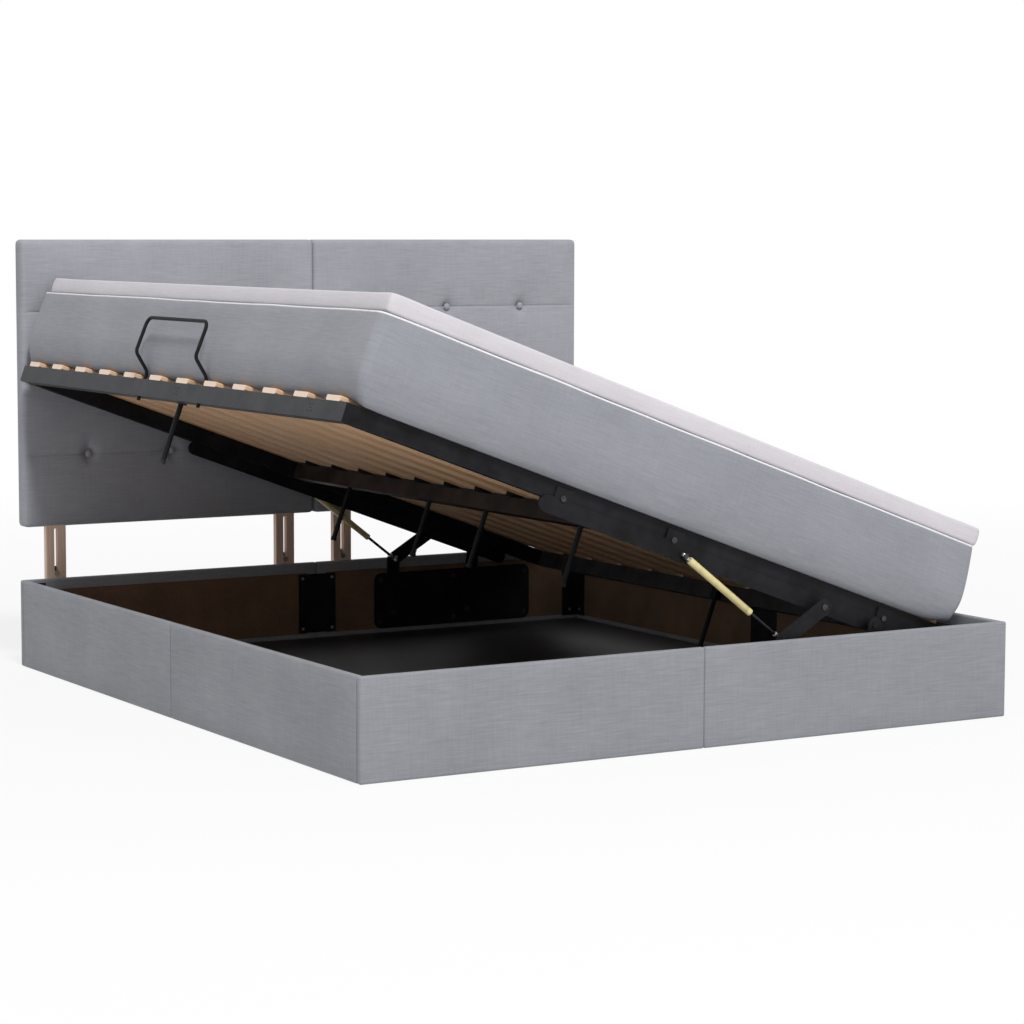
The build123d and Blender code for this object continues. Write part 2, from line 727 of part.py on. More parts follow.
# Lift gear: pivots of the two arms and the gas strut in the side view
front_pivot_x = frame_half_width * (1 - front_pivot_share)
rear_pivot_x = frame_half_width * (1 - rear_pivot_share)
strut_pivot_x = frame_half_width * (1 - strut_pivot_share)
front_lid_pivot = lid_point(front_pivot_x, -pivot_drop)
rear_lid_pivot = lid_point(rear_pivot_x, -pivot_drop)
front_base = base_pivot(front_lid_pivot, closed_point(front_pivot_x, -pivot_drop), front_base_drop)
rear_base = base_pivot(rear_lid_pivot, closed_point(rear_pivot_x, -pivot_drop), rear_base_drop)
strut_top = lid_point(strut_pivot_x, -pivot_drop)
strut_elbow = front_base + Vector(strut_elbow_side, strut_elbow_rise)
strut_run = strut_elbow - strut_top
strut_dir = Vector(strut_run.X, 0, strut_run.Y) / strut_run.length
strut_body_length = strut_run.length * strut_body_share
bar_face = frame_half_length + lift_bar_steel
bar_start = Vector(front_pivot_x - lift_bar_front, -lift_bar_drop)
bar_end = Vector(rear_pivot_x + lift_bar_rear, -lift_bar_drop)
lug_places = [bar_start.X + share * (bar_end.X - bar_start.X) for share in lift_lug_shares]
lug_middle = -(lift_lug_drop + lift_bar_drop) / 2
plate_left = front_base.X - base_plate_front
plate_right = rear_base.X + base_plate_rear
plate_top = box_height - base_plate_top_gap
plate_middle = Vector((plate_left + plate_right) / 2, (base_plate_foot + plate_top) / 2)
plate_width = plate_right - plate_left
plate_height = plate_top - base_plate_foot
bolt_spread_x = plate_width / 2 - base_plate_margin
bolt_spread_z = plate_height - 2 * base_plate_margin
for name, point in (
    ("front base", front_base),
    ("rear base", rear_base),
    ("front lid pin", front_lid_pivot),
    ("rear lid pin", rear_lid_pivot),
    ("strut top", strut_top),
    ("strut elbow", strut_elbow),
):
    print(name, round(point.X, 4), round(point.Y, 4))

for end_name, end in ends:
    # Flat bar that hangs below the end rail on three lugs
    with BuildPart() as lift_bar:
        with BuildSketch(lid_layer(end * frame_half_length)):
            link(bar_start, bar_end, lift_bar_height)
            with Locations(*[(x, lug_middle) for x in lug_places]):
                Rectangle(lift_lug_width, lift_bar_drop - lift_lug_drop)
        extrude(amount=-end * lift_bar_steel)
    finish(lift_bar.part, "lift_bar_" + end_name)

    # Bolts of the bar, the pin of the front arm and the stud of the strut, all on the lid
    stud_reach = strut_layer + strut_eye_width / 2 + axial_gap
    with BuildPart() as lid_pins:
        with BuildSketch(lid_layer(end * bar_face)):
            with Locations(*[(x, lug_middle) for x in lug_places]):
                RegularPolygon(lift_bolt_radius, bolt_sides)
        extrude(amount=-end * lift_bolt_height)
        with BuildSketch(lid_layer(end * bar_face)):
            with Locations((front_pivot_x, -pivot_drop)):
                RegularPolygon(spacer_radius, bolt_sides)
        extrude(amount=-end * (arm_inner - axial_gap - bar_face))
        with BuildSketch(lid_layer(end * (arm_inner - axial_gap))):
            with Locations((front_pivot_x, -pivot_drop)):
                Circle(pin_radius)
        extrude(amount=-end * (arm_outer - arm_inner + 2 * axial_gap))
        with BuildSketch(lid_layer(end * (arm_outer + axial_gap))):
            with Locations((front_pivot_x, -pivot_drop)):
                RegularPolygon(pin_head_radius, bolt_sides)
        extrude(amount=-end * pin_head_height)
        with BuildSketch(lid_layer(end * bar_face)):
            with Locations((strut_pivot_x, -pivot_drop)):
                Circle(stud_radius)
        extrude(amount=-end * (stud_reach - bar_face))
        with BuildSketch(lid_layer(end * stud_reach)):
            with Locations((strut_pivot_x, -pivot_drop)):
                RegularPolygon(stud_head_radius, bolt_sides)
        extrude(amount=-end * (strut_layer + strut_body_radius - stud_reach))
    finish(lid_pins.part, "lid_pins_" + end_name)

    # Bent front arm, from its base pivot up to the strut's elbow and on to the lid pin
    with BuildPart() as front_arm:
        with BuildSketch(box_layer(end * arm_inner)):
            link(front_base, strut_elbow, arm_width)
            link(strut_elbow, front_lid_pivot, arm_width)
            with Locations(front_base, front_lid_pivot):
                Circle(pin_radius + pivot_play, mode=Mode.SUBTRACT)
        extrude(amount=-end * arm_steel)
        with BuildSketch(box_layer(end * arm_outer)):
            with Locations(strut_elbow):
                RegularPolygon(pin_head_radius, bolt_sides)
        extrude(amount=-end * pin_head_height)
    finish(front_arm.part, "front_arm_" + end_name)

    # Rear arm with its own lid pin, which stops just short of the bar
    with BuildPart() as rear_arm:
        with BuildSketch(box_layer(end * arm_inner)):
            link(rear_base, rear_lid_pivot, arm_width)
            with Locations(rear_base):
                Circle(pin_radius + pivot_play, mode=Mode.SUBTRACT)
        extrude(amount=-end * arm_steel)
        with BuildSketch(box_layer(end * (bar_face + axial_gap))):
            with Locations(rear_lid_pivot):
                RegularPolygon(spacer_radius, bolt_sides)
        extrude(amount=-end * (arm_inner - bar_face - axial_gap))
        with BuildSketch(box_layer(end * arm_outer)):
            with Locations(rear_lid_pivot):
                RegularPolygon(pin_head_radius, bolt_sides)
        extrude(amount=-end * pin_head_height)
    finish(rear_arm.part, "rear_arm_" + end_name)

    # Base plate on the end panel
    with BuildPart() as base_plate:
        with BuildSketch(box_layer(end * base_plate_face)):
            with Locations(plate_middle):
                RectangleRounded(plate_width, plate_height, base_plate_corner)
        extrude(amount=-end * base_plate_steel)
    finish(base_plate.part, "base_plate_" + end_name)

    # Bolts of the base plate, and the shoulder pins that the two arms turn on
    with BuildPart() as base_pins:
        with BuildSketch(box_layer(end * base_plate_face)):
            with Locations(plate_middle):
                with GridLocations(bolt_spread_x, bolt_spread_z, 3, 2):
                    RegularPolygon(base_bolt_radius, bolt_sides)
        extrude(amount=end * base_bolt_height)
        with BuildSketch(box_layer(end * (arm_outer + axial_gap))):
            with Locations(front_base, rear_base):
                RegularPolygon(spacer_radius, bolt_sides)
        extrude(amount=-end * (base_plate_face - arm_outer - axial_gap))
        with BuildSketch(box_layer(end * (arm_inner - axial_gap))):
            with Locations(front_base, rear_base):
                Circle(pin_radius)
        extrude(amount=-end * (arm_outer - arm_inner + 2 * axial_gap))
        with BuildSketch(box_layer(end * (arm_inner - axial_gap))):
            with Locations(front_base, rear_base):
                RegularPolygon(pin_head_radius, bolt_sides)
        extrude(amount=end * pin_head_height)
    finish(base_pins.part, "base_pins_" + end_name)

    # Gas strut: a cylinder with an eye on the lid's stud, and the rod that slides in it
    eye_layer = box_layer(end * (strut_layer - strut_eye_width / 2))
    top_point = Vector(strut_top.X, end * strut_layer, strut_top.Y)
    elbow_point = Vector(strut_elbow.X, end * strut_layer, strut_elbow.Y)
    body_start = top_point + strut_dir * 2 * strut_eye_radius
    body_end = body_start + strut_dir * strut_body_length
    rod_start = body_end - strut_dir * strut_rod_hidden
    with BuildPart() as strut_cylinder:
        with BuildSketch(Plane(origin=body_start, z_dir=strut_dir)):
            RegularPolygon(strut_body_radius, strut_sides)
        extrude(amount=strut_body_length)
        with BuildSketch(Plane(origin=top_point, z_dir=strut_dir)):
            RegularPolygon(strut_neck_radius, bar_sides)
        extrude(amount=2 * strut_eye_radius)
        with BuildSketch(eye_layer):
            with Locations(strut_top):
                Circle(strut_eye_radius)
        extrude(amount=-end * strut_eye_width)
        with BuildSketch(eye_layer):
            with Locations(strut_top):
                Circle(stud_radius + pivot_play)
        extrude(amount=-end * strut_eye_width, mode=Mode.SUBTRACT)
        with BuildSketch(Plane(origin=body_end, z_dir=strut_dir * -1)):
            Circle(strut_rod_radius + strut_rod_gap)
        extrude(amount=strut_body_length - strut_body_end, mode=Mode.SUBTRACT)
    finish(strut_cylinder.part, "strut_cylinder_" + end_name)

    elbow_stud_start = strut_layer + strut_eye_width / 2
    with BuildPart() as strut_rod:
        with BuildSketch(Plane(origin=rod_start, z_dir=strut_dir)):
            Circle(strut_rod_radius)
        extrude(amount=(elbow_point - rod_start).length - strut_end_length)
        with BuildSketch(Plane(origin=elbow_point - strut_dir * strut_end_length, z_dir=strut_dir)):
            RegularPolygon(strut_end_radius, bar_sides)
        extrude(amount=strut_end_length - strut_eye_radius / 2)
        with BuildSketch(eye_layer):
            with Locations(strut_elbow):
                Circle(strut_eye_radius)
        extrude(amount=-end * strut_eye_width)
        with BuildSketch(box_layer(end * elbow_stud_start)):
            with Locations(strut_elbow):
                RegularPolygon(stud_radius, bar_sides)
        extrude(amount=-end * (arm_inner - axial_gap - elbow_stud_start))
    finish(strut_rod.part, "strut_rod_" + end_name)
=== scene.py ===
import math

import bmesh
import bpy
from mathutils import Matrix, Vector, noise


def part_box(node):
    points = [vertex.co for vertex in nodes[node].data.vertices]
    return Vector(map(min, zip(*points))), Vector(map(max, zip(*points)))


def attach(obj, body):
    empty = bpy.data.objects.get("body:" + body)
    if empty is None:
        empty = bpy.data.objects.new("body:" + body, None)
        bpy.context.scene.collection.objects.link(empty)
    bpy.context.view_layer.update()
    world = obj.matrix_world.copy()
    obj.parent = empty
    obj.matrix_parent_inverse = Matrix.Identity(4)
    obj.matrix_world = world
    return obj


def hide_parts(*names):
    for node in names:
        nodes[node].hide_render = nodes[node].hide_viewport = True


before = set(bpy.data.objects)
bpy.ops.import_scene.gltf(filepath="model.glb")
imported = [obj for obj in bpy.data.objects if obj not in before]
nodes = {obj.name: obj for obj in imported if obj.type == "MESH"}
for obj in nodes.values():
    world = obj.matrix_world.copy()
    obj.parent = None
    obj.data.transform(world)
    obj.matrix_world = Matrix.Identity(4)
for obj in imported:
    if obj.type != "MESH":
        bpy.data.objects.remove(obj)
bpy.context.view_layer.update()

bpy.ops.object.select_all(action="DESELECT")

# The camera stands to the left of the foot end, about 1.2 m up, and looks down a little
# with a long lens, so that the box shows its left side and its foot end.
camera_place = (-3.8595, -6.6208, 1.2216)
camera_yaw = math.radians(30.716)
camera_dip = math.radians(5.574)
camera_roll = math.radians(0.142)
camera_lens = 102.63
bpy.ops.object.camera_add(location=camera_place)
camera = bpy.context.object
camera.rotation_euler = (
    Matrix.Rotation(-camera_yaw, 3, "Z")
    @ Matrix.Rotation(math.pi / 2 - camera_dip, 3, "X")
    @ Matrix.Rotation(camera_roll, 3, "Z")
).to_euler()
camera.data.sensor_width = 36
camera.data.lens = camera_lens
camera.data.clip_end = 200
bpy.context.scene.camera = camera
bpy.context.scene.view_settings.view_transform = "Standard"


# The studio is a white room: one soft lamp high up in front, a plain pale floor, and a
# white backdrop that only the eye sees, so that it adds no light of its own.
def feed(tree, node, inputs):
    """Links each input that is given a socket, and sets each that is given a value."""
    for name, value in inputs.items():
        if isinstance(value, bpy.types.NodeSocket):
            tree.links.new(value, node.inputs[name])
        else:
            node.inputs[name].default_value = value


def colour(code):
    """A colour written as a screen shows it, turned to linear light."""
    parts = [int(code[i : i + 2], 16) / 255 for i in (1, 3, 5)]
    return (*[p / 12.92 if p <= 0.04045 else ((p + 0.055) / 1.055) ** 2.4 for p in parts], 1)


def add_node(tree, kind, inputs=None, stops=(), **settings):
    """Adds a node with its settings, its inputs, and the places and colours of its ramp if it has one."""
    made = tree.nodes.new(kind)
    for name, value in settings.items():
        setattr(made, name, value)
    for n, (position, code) in enumerate(stops):
        made.color_ramp.elements[n].position = position
        made.color_ramp.elements[n].color = colour(code)
    feed(tree, made, inputs or {})
    return made


def show_to_eye(tree, out, lit, shown, share=1.0):
    """Ends a tree in one shader for what gives light and another for what the eye sees."""
    rays = add_node(tree, "ShaderNodeLightPath")
    seen = rays.outputs["Is Camera Ray"]
    for kind in ("Is Glossy Ray", "Is Transmission Ray"):
        either = add_node(tree, "ShaderNodeMath", {0: seen, 1: rays.outputs[kind]}, operation="MAXIMUM")
        seen = either.outputs[0]
    share = add_node(tree, "ShaderNodeMath", {0: seen, 1: share}, operation="MULTIPLY").outputs[0]
    both = add_node(tree, "ShaderNodeMixShader", {0: share, 1: lit.outputs[0], 2: shown.outputs[0]})
    add_node(tree, out, {"Surface": both.outputs[0]})


lamp_from = Vector((-0.16, -0.57, 0.81)).normalized()
lamp_distance = 14
lamp_aim = Vector((0, 0, 0.4))
bpy.ops.object.light_add(type="AREA", location=lamp_aim + lamp_from * lamp_distance)
lamp = bpy.context.object
lamp.rotation_euler = lamp_from.to_track_quat("Z", "Y").to_euler()
lamp.data.size = 2.2
lamp.data.energy = 1340

room = bpy.data.worlds.new("white_room")
bpy.context.scene.world = room
room.use_nodes = True
tree = room.node_tree
tree.nodes.clear()
lighting = add_node(tree, "ShaderNodeBackground", {"Color": colour("#f9f9fb"), "Strength": 0.515})
backdrop = add_node(tree, "ShaderNodeBackground", {"Color": colour("#ffffff"), "Strength": 1.0})
show_to_eye(tree, "ShaderNodeOutputWorld", lighting, backdrop)

floor_size = 50
near_glow, far_glow = 0.8, 1.0
near_edge, far_edge = 2.0, 6.0
bpy.ops.mesh.primitive_plane_add(size=floor_size)
floor = bpy.context.object
floor.name = "studio_floor"
pale_paint = bpy.data.materials.new("pale_floor_paint")
pale_paint.use_nodes = True
tree = pale_paint.node_tree
tree.nodes.clear()
place = add_node(tree, "ShaderNodeTexCoord")
away = add_node(tree, "ShaderNodeVectorMath", {0: place.outputs["Object"]}, operation="LENGTH")
reach = {"From Min": near_edge, "From Max": far_edge, "To Min": near_glow, "To Max": far_glow}
paling = add_node(tree, "ShaderNodeMapRange", {"Value": away.outputs["Value"]} | reach)
matt = add_node(tree, "ShaderNodeBsdfDiffuse", {"Color": colour("#e9e9ea")})
glow = add_node(tree, "ShaderNodeEmission", {"Color": colour("#ffffff"), "Strength": 1.0})
show_to_eye(tree, "ShaderNodeOutputMaterial", matt, glow, paling.outputs[0])
floor.data.materials.append(pale_paint)


# Storage floor: black coated boards on sawn softwood battens that lie on the ground.
# The coating is a printed film, so it has a faint grain and a dull gloss.
def new_finish(name):
    """Starts a material and gives its node tree and shader."""
    material = bpy.data.materials.new(name)
    material.use_nodes = True
    return material, material.node_tree, material.node_tree.nodes["Principled BSDF"]


def coat(material, *names):
    """Puts a material on parts of the frame."""
    for name in names:
        nodes[name].data.materials.clear()
        nodes[name].data.materials.append(material)


def grained(tree, shader, run, stops, depth, lean=0.0):
    """Wood grain: streaks with a little relief; run is their count in a metre along x, y and z."""
    place = add_node(tree, "ShaderNodeTexCoord")
    straight = {"Vector": place.outputs["Object"], "Rotation": (0, lean, 0)}
    turned = add_node(tree, "ShaderNodeMapping", straight)
    along = add_node(tree, "ShaderNodeMapping", {"Vector": turned.outputs[0], "Scale": run})
    wander = {"Scale": 1.0, "Detail": 6.0, "Roughness": 0.62, "Distortion": 0.4}
    streaks = add_node(tree, "ShaderNodeTexNoise", {"Vector": along.outputs[0]} | wander)
    ramp = add_node(tree, "ShaderNodeValToRGB", {0: streaks.outputs[0]}, stops)
    bumps = {"Height": streaks.outputs[0], "Strength": 0.35, "Distance": depth}
    relief = add_node(tree, "ShaderNodeBump", bumps)
    feed(tree, shader, {"Base Color": ramp.outputs[0], "Normal": relief.outputs[0]})
    return turned, ramp


# softwood: growth rings about 6 mm apart, running along the battens
sawn_softwood, tree, shader = new_finish("sawn_softwood")
grained(tree, shader, (160, 7, 160), ((0.32, "#8f6f48"), (0.68, "#b9966a")), 0.0006)
feed(tree, shader, {"Roughness": 0.75})
coat(sawn_softwood, "floor_batten_middle", "floor_battens_side")

# film: a printed grain about 5 mm wide, across the box
film_faced_board, tree, shader = new_finish("black_film_faced_board")
grained(tree, shader, (6, 210, 210), ((0.32, "#1a1a1d"), (0.68, "#2b2b2e")), 0.0002)
feed(tree, shader, {"Roughness": 0.5})
for side in ("left", "right"):
    coat(film_faced_board, "floor_board_" + side + "_foot", "floor_board_" + side + "_head")

# Boards of the box: bare brown fibreboard, which shows inside where the cloth stops.
# Pressed fibres give it specks of about 2 mm and blotches of about 110 mm, and it is dry.
brown_fibreboard, tree, shader = new_finish("brown_fibreboard")
place = add_node(tree, "ShaderNodeTexCoord").outputs["Object"]
specks = add_node(tree, "ShaderNodeTexNoise", {"Vector": place, "Scale": 420.0, "Detail": 4.0})
blotches = add_node(tree, "ShaderNodeTexNoise", {"Vector": place, "Scale": 9.0, "Detail": 3.0})
tone = 0.0
for pattern, share in ((specks, 0.6), (blotches, 0.4)):
    weighed = {0: pattern.outputs[0], 1: share, 2: tone}
    tone = add_node(tree, "ShaderNodeMath", weighed, operation="MULTIPLY_ADD").outputs[0]
ramp = add_node(tree, "ShaderNodeValToRGB", {0: tone}, ((0.38, "#5d4735"), (0.62, "#7d6149")))
relief = add_node(tree, "ShaderNodeBump", {"Height": specks.outputs[0], "Strength": 0.3, "Distance": 0.0004})
feed(tree, shader, {"Base Color": ramp.outputs[0], "Normal": relief.outputs[0], "Roughness": 0.85})
coat(brown_fibreboard, "side_boards_left", "side_boards_right", "foot_boards", "head_boards")


# Brackets and seam plates: folded sheet steel in a black powder coat, held by zinc screws.
# The coat has a fine orange-peel skin, and is rubbed a little lighter along its edges.
def powder_coat(name, dark, light, gloss):
    """Powder-coated steel: orange peel at 1 mm, drifts of tone at 70 mm, and edges rubbed lighter."""
    material, tree, shader = new_finish(name)
    place = add_node(tree, "ShaderNodeTexCoord").outputs["Object"]
    peel = add_node(tree, "ShaderNodeTexNoise", {"Vector": place, "Scale": 1000.0, "Detail": 2.0})
    wander = {"Vector": place, "Scale": 14.0, "Detail": 5.0, "Roughness": 0.6}
    drift = add_node(tree, "ShaderNodeTexNoise", wander).outputs[0]
    rounded = add_node(tree, "ShaderNodeBevel", {"Radius": 0.0015}, samples=4)
    flat = add_node(tree, "ShaderNodeNewGeometry")
    normals = {0: rounded.outputs[0], 1: flat.outputs["Normal"]}
    facing = add_node(tree, "ShaderNodeVectorMath", normals, operation="DOT_PRODUCT").outputs["Value"]
    rub = {"Value": facing, "From Min": 0.995, "From Max": 0.8, "To Min": 0.0, "To Max": 0.5}
    edge = add_node(tree, "ShaderNodeMapRange", rub)
    tone = add_node(tree, "ShaderNodeMath", {0: drift, 1: edge.outputs[0]}, operation="ADD")
    ramp = add_node(tree, "ShaderNodeValToRGB", {0: tone.outputs[0]}, ((0.35, dark), (1.0, light)))
    dulling = {"From Min": 0.3, "From Max": 0.7, "To Min": gloss - 0.06, "To Max": gloss + 0.08}
    rough = add_node(tree, "ShaderNodeMapRange", {"Value": drift} | dulling)
    bumps = {"Height": peel.outputs[0], "Strength": 0.2, "Distance": 0.0002}
    relief = add_node(tree, "ShaderNodeBump", bumps)
    feed(tree, shader, {"Base Color": ramp.outputs[0], "Roughness": rough.outputs[0]})
    feed(tree, shader, {"Normal": relief.outputs[0], "Specular IOR Level": 0.15})
    return material


def spotted(name, spots, detail, stops, inputs, rough=None, relief=None):
    """A finish whose tone, and gloss and relief if given, follow one noise of so many spots in a metre."""
    material, tree, shader = new_finish(name)
    place = add_node(tree, "ShaderNodeTexCoord").outputs["Object"]
    drift = {"Vector": place, "Scale": spots, "Detail": detail}
    drift = add_node(tree, "ShaderNodeTexNoise", drift).outputs[0]
    ramp = add_node(tree, "ShaderNodeValToRGB", {0: drift}, stops)
    feed(tree, shader, {"Base Color": ramp.outputs[0]} | inputs)
    if rough:
        spread = {"Value": drift, "To Min": rough[0], "To Max": rough[1]}
        feed(tree, shader, {"Roughness": add_node(tree, "ShaderNodeMapRange", spread).outputs[0]})
    if relief:
        bumps = {"Height": drift, "Strength": relief[0], "Distance": relief[1]}
        feed(tree, shader, {"Normal": add_node(tree, "ShaderNodeBump", bumps).outputs[0]})
    return material


black_powder_coat = powder_coat("black_powder_coat", "#0c0c0e", "#2c2c30", 0.55)
coat(black_powder_coat, "corner_brackets", "seam_plates")

# zinc: plated steel, slightly clouded with a bloom of about 6 mm
zinc_tones = ((0.3, "#9b9a95"), (0.7, "#c6c4be"))
zinc_plate = spotted("bright_zinc_plate", 160.0, 4.0, zinc_tones, {"Metallic": 1.0}, rough=(0.34, 0.5))
coat(zinc_plate, "panel_screws")


# Covers of the box: grey polyester woven to look like linen, stretched over each half board
# and turned in over its rim. Thick and thin yarns make level streaks; the cloth is matt.
def woven_cloth(name, dark, light, lean=0.0):
    """Plain weave: yarns 0.6 mm apart, drawn 0.9 mm apart with streaks 4 mm high so that they show."""
    material, tree, shader = new_finish(name)
    place = add_node(tree, "ShaderNodeTexCoord")
    straight = {"Vector": place.outputs["Object"], "Rotation": (0, lean, 0)}
    turned = add_node(tree, "ShaderNodeMapping", straight).outputs[0]
    drawn = []
    # the slubs, the upright streaks, the weft and the warp, each by its spots in a metre along x, y and z
    for run, detail, roughness in (
        ((15, 15, 260), 5.0, 0.65),
        ((150, 150, 14), 4.0, 0.6),
        ((90, 90, 1100), 2.0, 0.5),
        ((1100, 1100, 90), 2.0, 0.5),
    ):
        along = add_node(tree, "ShaderNodeMapping", {"Vector": turned, "Scale": run}).outputs[0]
        streaks = {"Vector": along, "Scale": 1.0, "Detail": detail, "Roughness": roughness}
        drawn.append(add_node(tree, "ShaderNodeTexNoise", streaks))
    slubs, uprights, weft, warp = drawn
    clouds = add_node(tree, "ShaderNodeTexNoise", {"Vector": turned, "Scale": 4.5, "Detail": 3.0})
    sums = []
    for parts in (((slubs, 0.5), (uprights, 0.2), (clouds, 0.3)), ((weft, 1.0), (warp, 1.0), (slubs, 0.4))):
        total = 0.0
        for pattern, share in parts:
            weighed = {0: pattern.outputs[0], 1: share, 2: total}
            total = add_node(tree, "ShaderNodeMath", weighed, operation="MULTIPLY_ADD").outputs[0]
        sums.append(total)
    tone, yarns = sums
    ramp = add_node(tree, "ShaderNodeValToRGB", {0: tone}, ((0.34, dark), (0.66, light)))
    relief = add_node(tree, "ShaderNodeBump", {"Height": yarns, "Strength": 0.3, "Distance": 0.0007})
    feed(tree, shader, {"Base Color": ramp.outputs[0], "Normal": relief.outputs[0], "Roughness": 0.92})
    feed(tree, shader, {"Specular IOR Level": 0.25, "Sheen Weight": 0.12, "Sheen Roughness": 0.6})
    return material


def pick(kind, test):
    """In edit mode, selects the faces, edges or vertices that pass the test, and nothing else."""
    bpy.ops.mesh.select_mode(type={"faces": "FACE", "edges": "EDGE", "verts": "VERT"}[kind])
    bpy.ops.mesh.select_all(action="DESELECT")
    shape = bmesh.from_edit_mesh(bpy.context.object.data)
    for item in getattr(shape, kind):
        if test(item):
            item.select_set(True)
    shape.select_flush_mode()
    bmesh.update_edit_mesh(bpy.context.object.data)


def settle():
    """Puts the active object's place, turn and size into its mesh."""
    bpy.ops.object.transform_apply(location=True, rotation=True, scale=True)


def add_block(name, low, high):
    """Adds a block between two corners, with its place in its mesh, and leaves it active."""
    low, high = Vector(low), Vector(high)
    bpy.ops.object.select_all(action="DESELECT")
    bpy.ops.mesh.primitive_cube_add(size=1, location=(low + high) / 2)
    block = bpy.context.object
    block.name = name
    block.scale = high - low
    settle()
    return block


def cut(points, axis):
    """In edit mode, cuts the whole mesh across one axis at each point."""
    normal = Vector([float(n == axis) for n in range(3)])
    for point in points:
        bpy.ops.mesh.select_all(action="SELECT")
        bpy.ops.mesh.bisect(plane_co=normal * point, plane_no=normal)


def steps(low, high, size):
    """Evenly spaced points between two ends, about size apart, without the ends."""
    count = max(1, round((high - low) / size))
    return [low + (high - low) * n / count for n in range(1, count)]


def inside(value, low, high):
    """How far a value is from the nearer of two ends."""
    return min(value - low, high - value)


def bends(edge, inward):
    """True for the edges of a cover, but not for those within its flat turn-in."""
    turns = [face.normal.dot(inward) for face in edge.link_faces]
    return all(turn < 0.9 for turn in turns) or len({round(turn) for turn in turns}) > 1


def hand_over(piece, material, body, node):
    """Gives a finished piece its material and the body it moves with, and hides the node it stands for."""
    piece.data.materials.clear()
    piece.data.materials.append(material)
    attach(piece, body)
    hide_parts(node)


box_linen = woven_cloth("grey_woven_polyester_linen", "#828489", "#989a9f")
cover_turn = 0.03
cover_radius = 0.0055
cover_skin = 0.002
cover_pull = 0.0011
cover_ripples = 7, 16
cover_margin, cover_columns, cover_rows = 0.02, 0.045, 0.03
cover_fade = 0.03
inward_from = {"left": (1, 0, 0), "right": (-1, 0, 0), "foot": (0, 1, 0), "head": (0, -1, 0)}
cover_faces = {
    "side_cover_left_foot": ("side_boards_left", "left"),
    "side_cover_left_head": ("side_boards_left", "left"),
    "side_cover_right_foot": ("side_boards_right", "right"),
    "side_cover_right_head": ("side_boards_right", "right"),
    "foot_cover_left": ("foot_boards", "foot"),
    "foot_cover_right": ("foot_boards", "foot"),
    "head_cover_left": ("head_boards", "head"),
    "head_cover_right": ("head_boards", "head"),
}
for name, (boards, side) in cover_faces.items():
    low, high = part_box(name)
    inward = Vector(inward_from[side])
    long_axis, thin_axis = (1, 0) if inward.x else (0, 1)
    cover = add_block(name + "_linen", low, high)
    bpy.ops.object.mode_set(mode="EDIT")
    pick("faces", lambda f: f.normal.dot(inward) > 0.9)
    bpy.ops.mesh.inset(thickness=cover_turn)
    bpy.ops.mesh.delete(type="FACE")
    pick("edges", lambda e: bends(e, inward))
    bpy.ops.mesh.bevel(offset=cover_radius, segments=3, affect="EDGES")
    cut(steps(low[long_axis] + cover_margin, high[long_axis] - cover_margin, cover_columns), long_axis)
    cut(steps(low.z + cover_margin, high.z - cover_margin, cover_rows), 2)
    bpy.ops.object.mode_set(mode="OBJECT")
    # the cloth is pulled tight but never quite flat: it dips a little between its staples
    outer_corner = low if inward[thin_axis] > 0 else high
    for v in cover.data.vertices:
        rise = min(1.0, inside(v.co.z, low.z, high.z) / cover_fade)
        if (v.co - outer_corner).dot(inward) < 0.001 and rise > 0:
            along, up = v.co[long_axis] * cover_ripples[0], v.co.z * cover_ripples[1]
            ripple = noise.noise(Vector((along, up, inward.x * 3 + inward.y * 5)))
            v.co += inward * cover_pull * rise * (0.5 + 0.5 * ripple)
    solid = cover.modifiers.new("Skin", "SOLIDIFY")
    solid.thickness = cover_skin
    solid.offset = -1
    bpy.ops.object.modifier_apply(modifier=solid.name)
    bpy.ops.object.shade_smooth_by_angle(angle=math.radians(40))
    hand_over(cover, box_linen, "box", name)
    # the cut is the board's face, its four edges and the turn-in, less a square at each corner
    margin = (high - low)[thin_axis] + cover_turn
    flat = ((high - low)[long_axis] + 2 * margin, high.z - low.z + 2 * margin)

# Headboard legs: planed boards of pinkish softwood with two long slots for the bolts.
# The grain runs upright, about 5 mm wide, and the pores are closed, so the face is dull and even.
pink_softwood_painted_lighter, tree, shader = new_finish("planed_pinkish_softwood")
# the tones are the wood's own pink, painted lighter: painted light that makes up for the shade on the legs
# under the headboards and the lid
grained(tree, shader, (190, 190, 6), ((0.32, "#dcbaa4"), (0.68, "#f2dac8")), 0.0003)
feed(tree, shader, {"Roughness": 0.62})
coat(pink_softwood_painted_lighter, "headboard_legs_left", "headboard_legs_right")
coat(black_powder_coat, "clamp_plates")
coat(zinc_plate, "headboard_bolts")


# Headboards: padded panels in the same linen, here in a copy painted lighter as painted light. Three sewn
# channels cross each, and buttons pull the padding in along the lowest and the highest of them. The puff is
# simulated as cloth.
def puff(piece, held, pressure, reach):
    """Blows a padded piece up as cloth with its held points fixed, and lets none move further than reach."""
    before = [v.co.copy() for v in piece.data.vertices]
    group = piece.vertex_groups.new(name="held")
    group.add(held, 1.0, "REPLACE")
    cloth = piece.modifiers.new("Cloth", "CLOTH")
    cloth.settings.quality = 5
    cloth.settings.mass = 0.3
    cloth.settings.tension_stiffness = 15
    cloth.settings.compression_stiffness = 15
    cloth.settings.shear_stiffness = 8
    cloth.settings.bending_stiffness = 0.6
    cloth.settings.use_pressure = True
    cloth.settings.uniform_pressure_force = pressure
    cloth.settings.effector_weights.gravity = 0
    cloth.settings.vertex_group_mass = "held"
    last_frame = 20
    cloth.point_cache.frame_end = last_frame
    for n in range(1, last_frame + 1):
        bpy.context.scene.frame_set(n)
    bpy.context.view_layer.objects.active = piece
    bpy.ops.object.modifier_apply(modifier=cloth.name)
    bpy.context.scene.frame_set(1)
    for v, start in zip(piece.data.vertices, before):
        step = v.co - start
        if step.length > reach:
            v.co = start + step * (reach / step.length)
    piece.vertex_groups.clear()


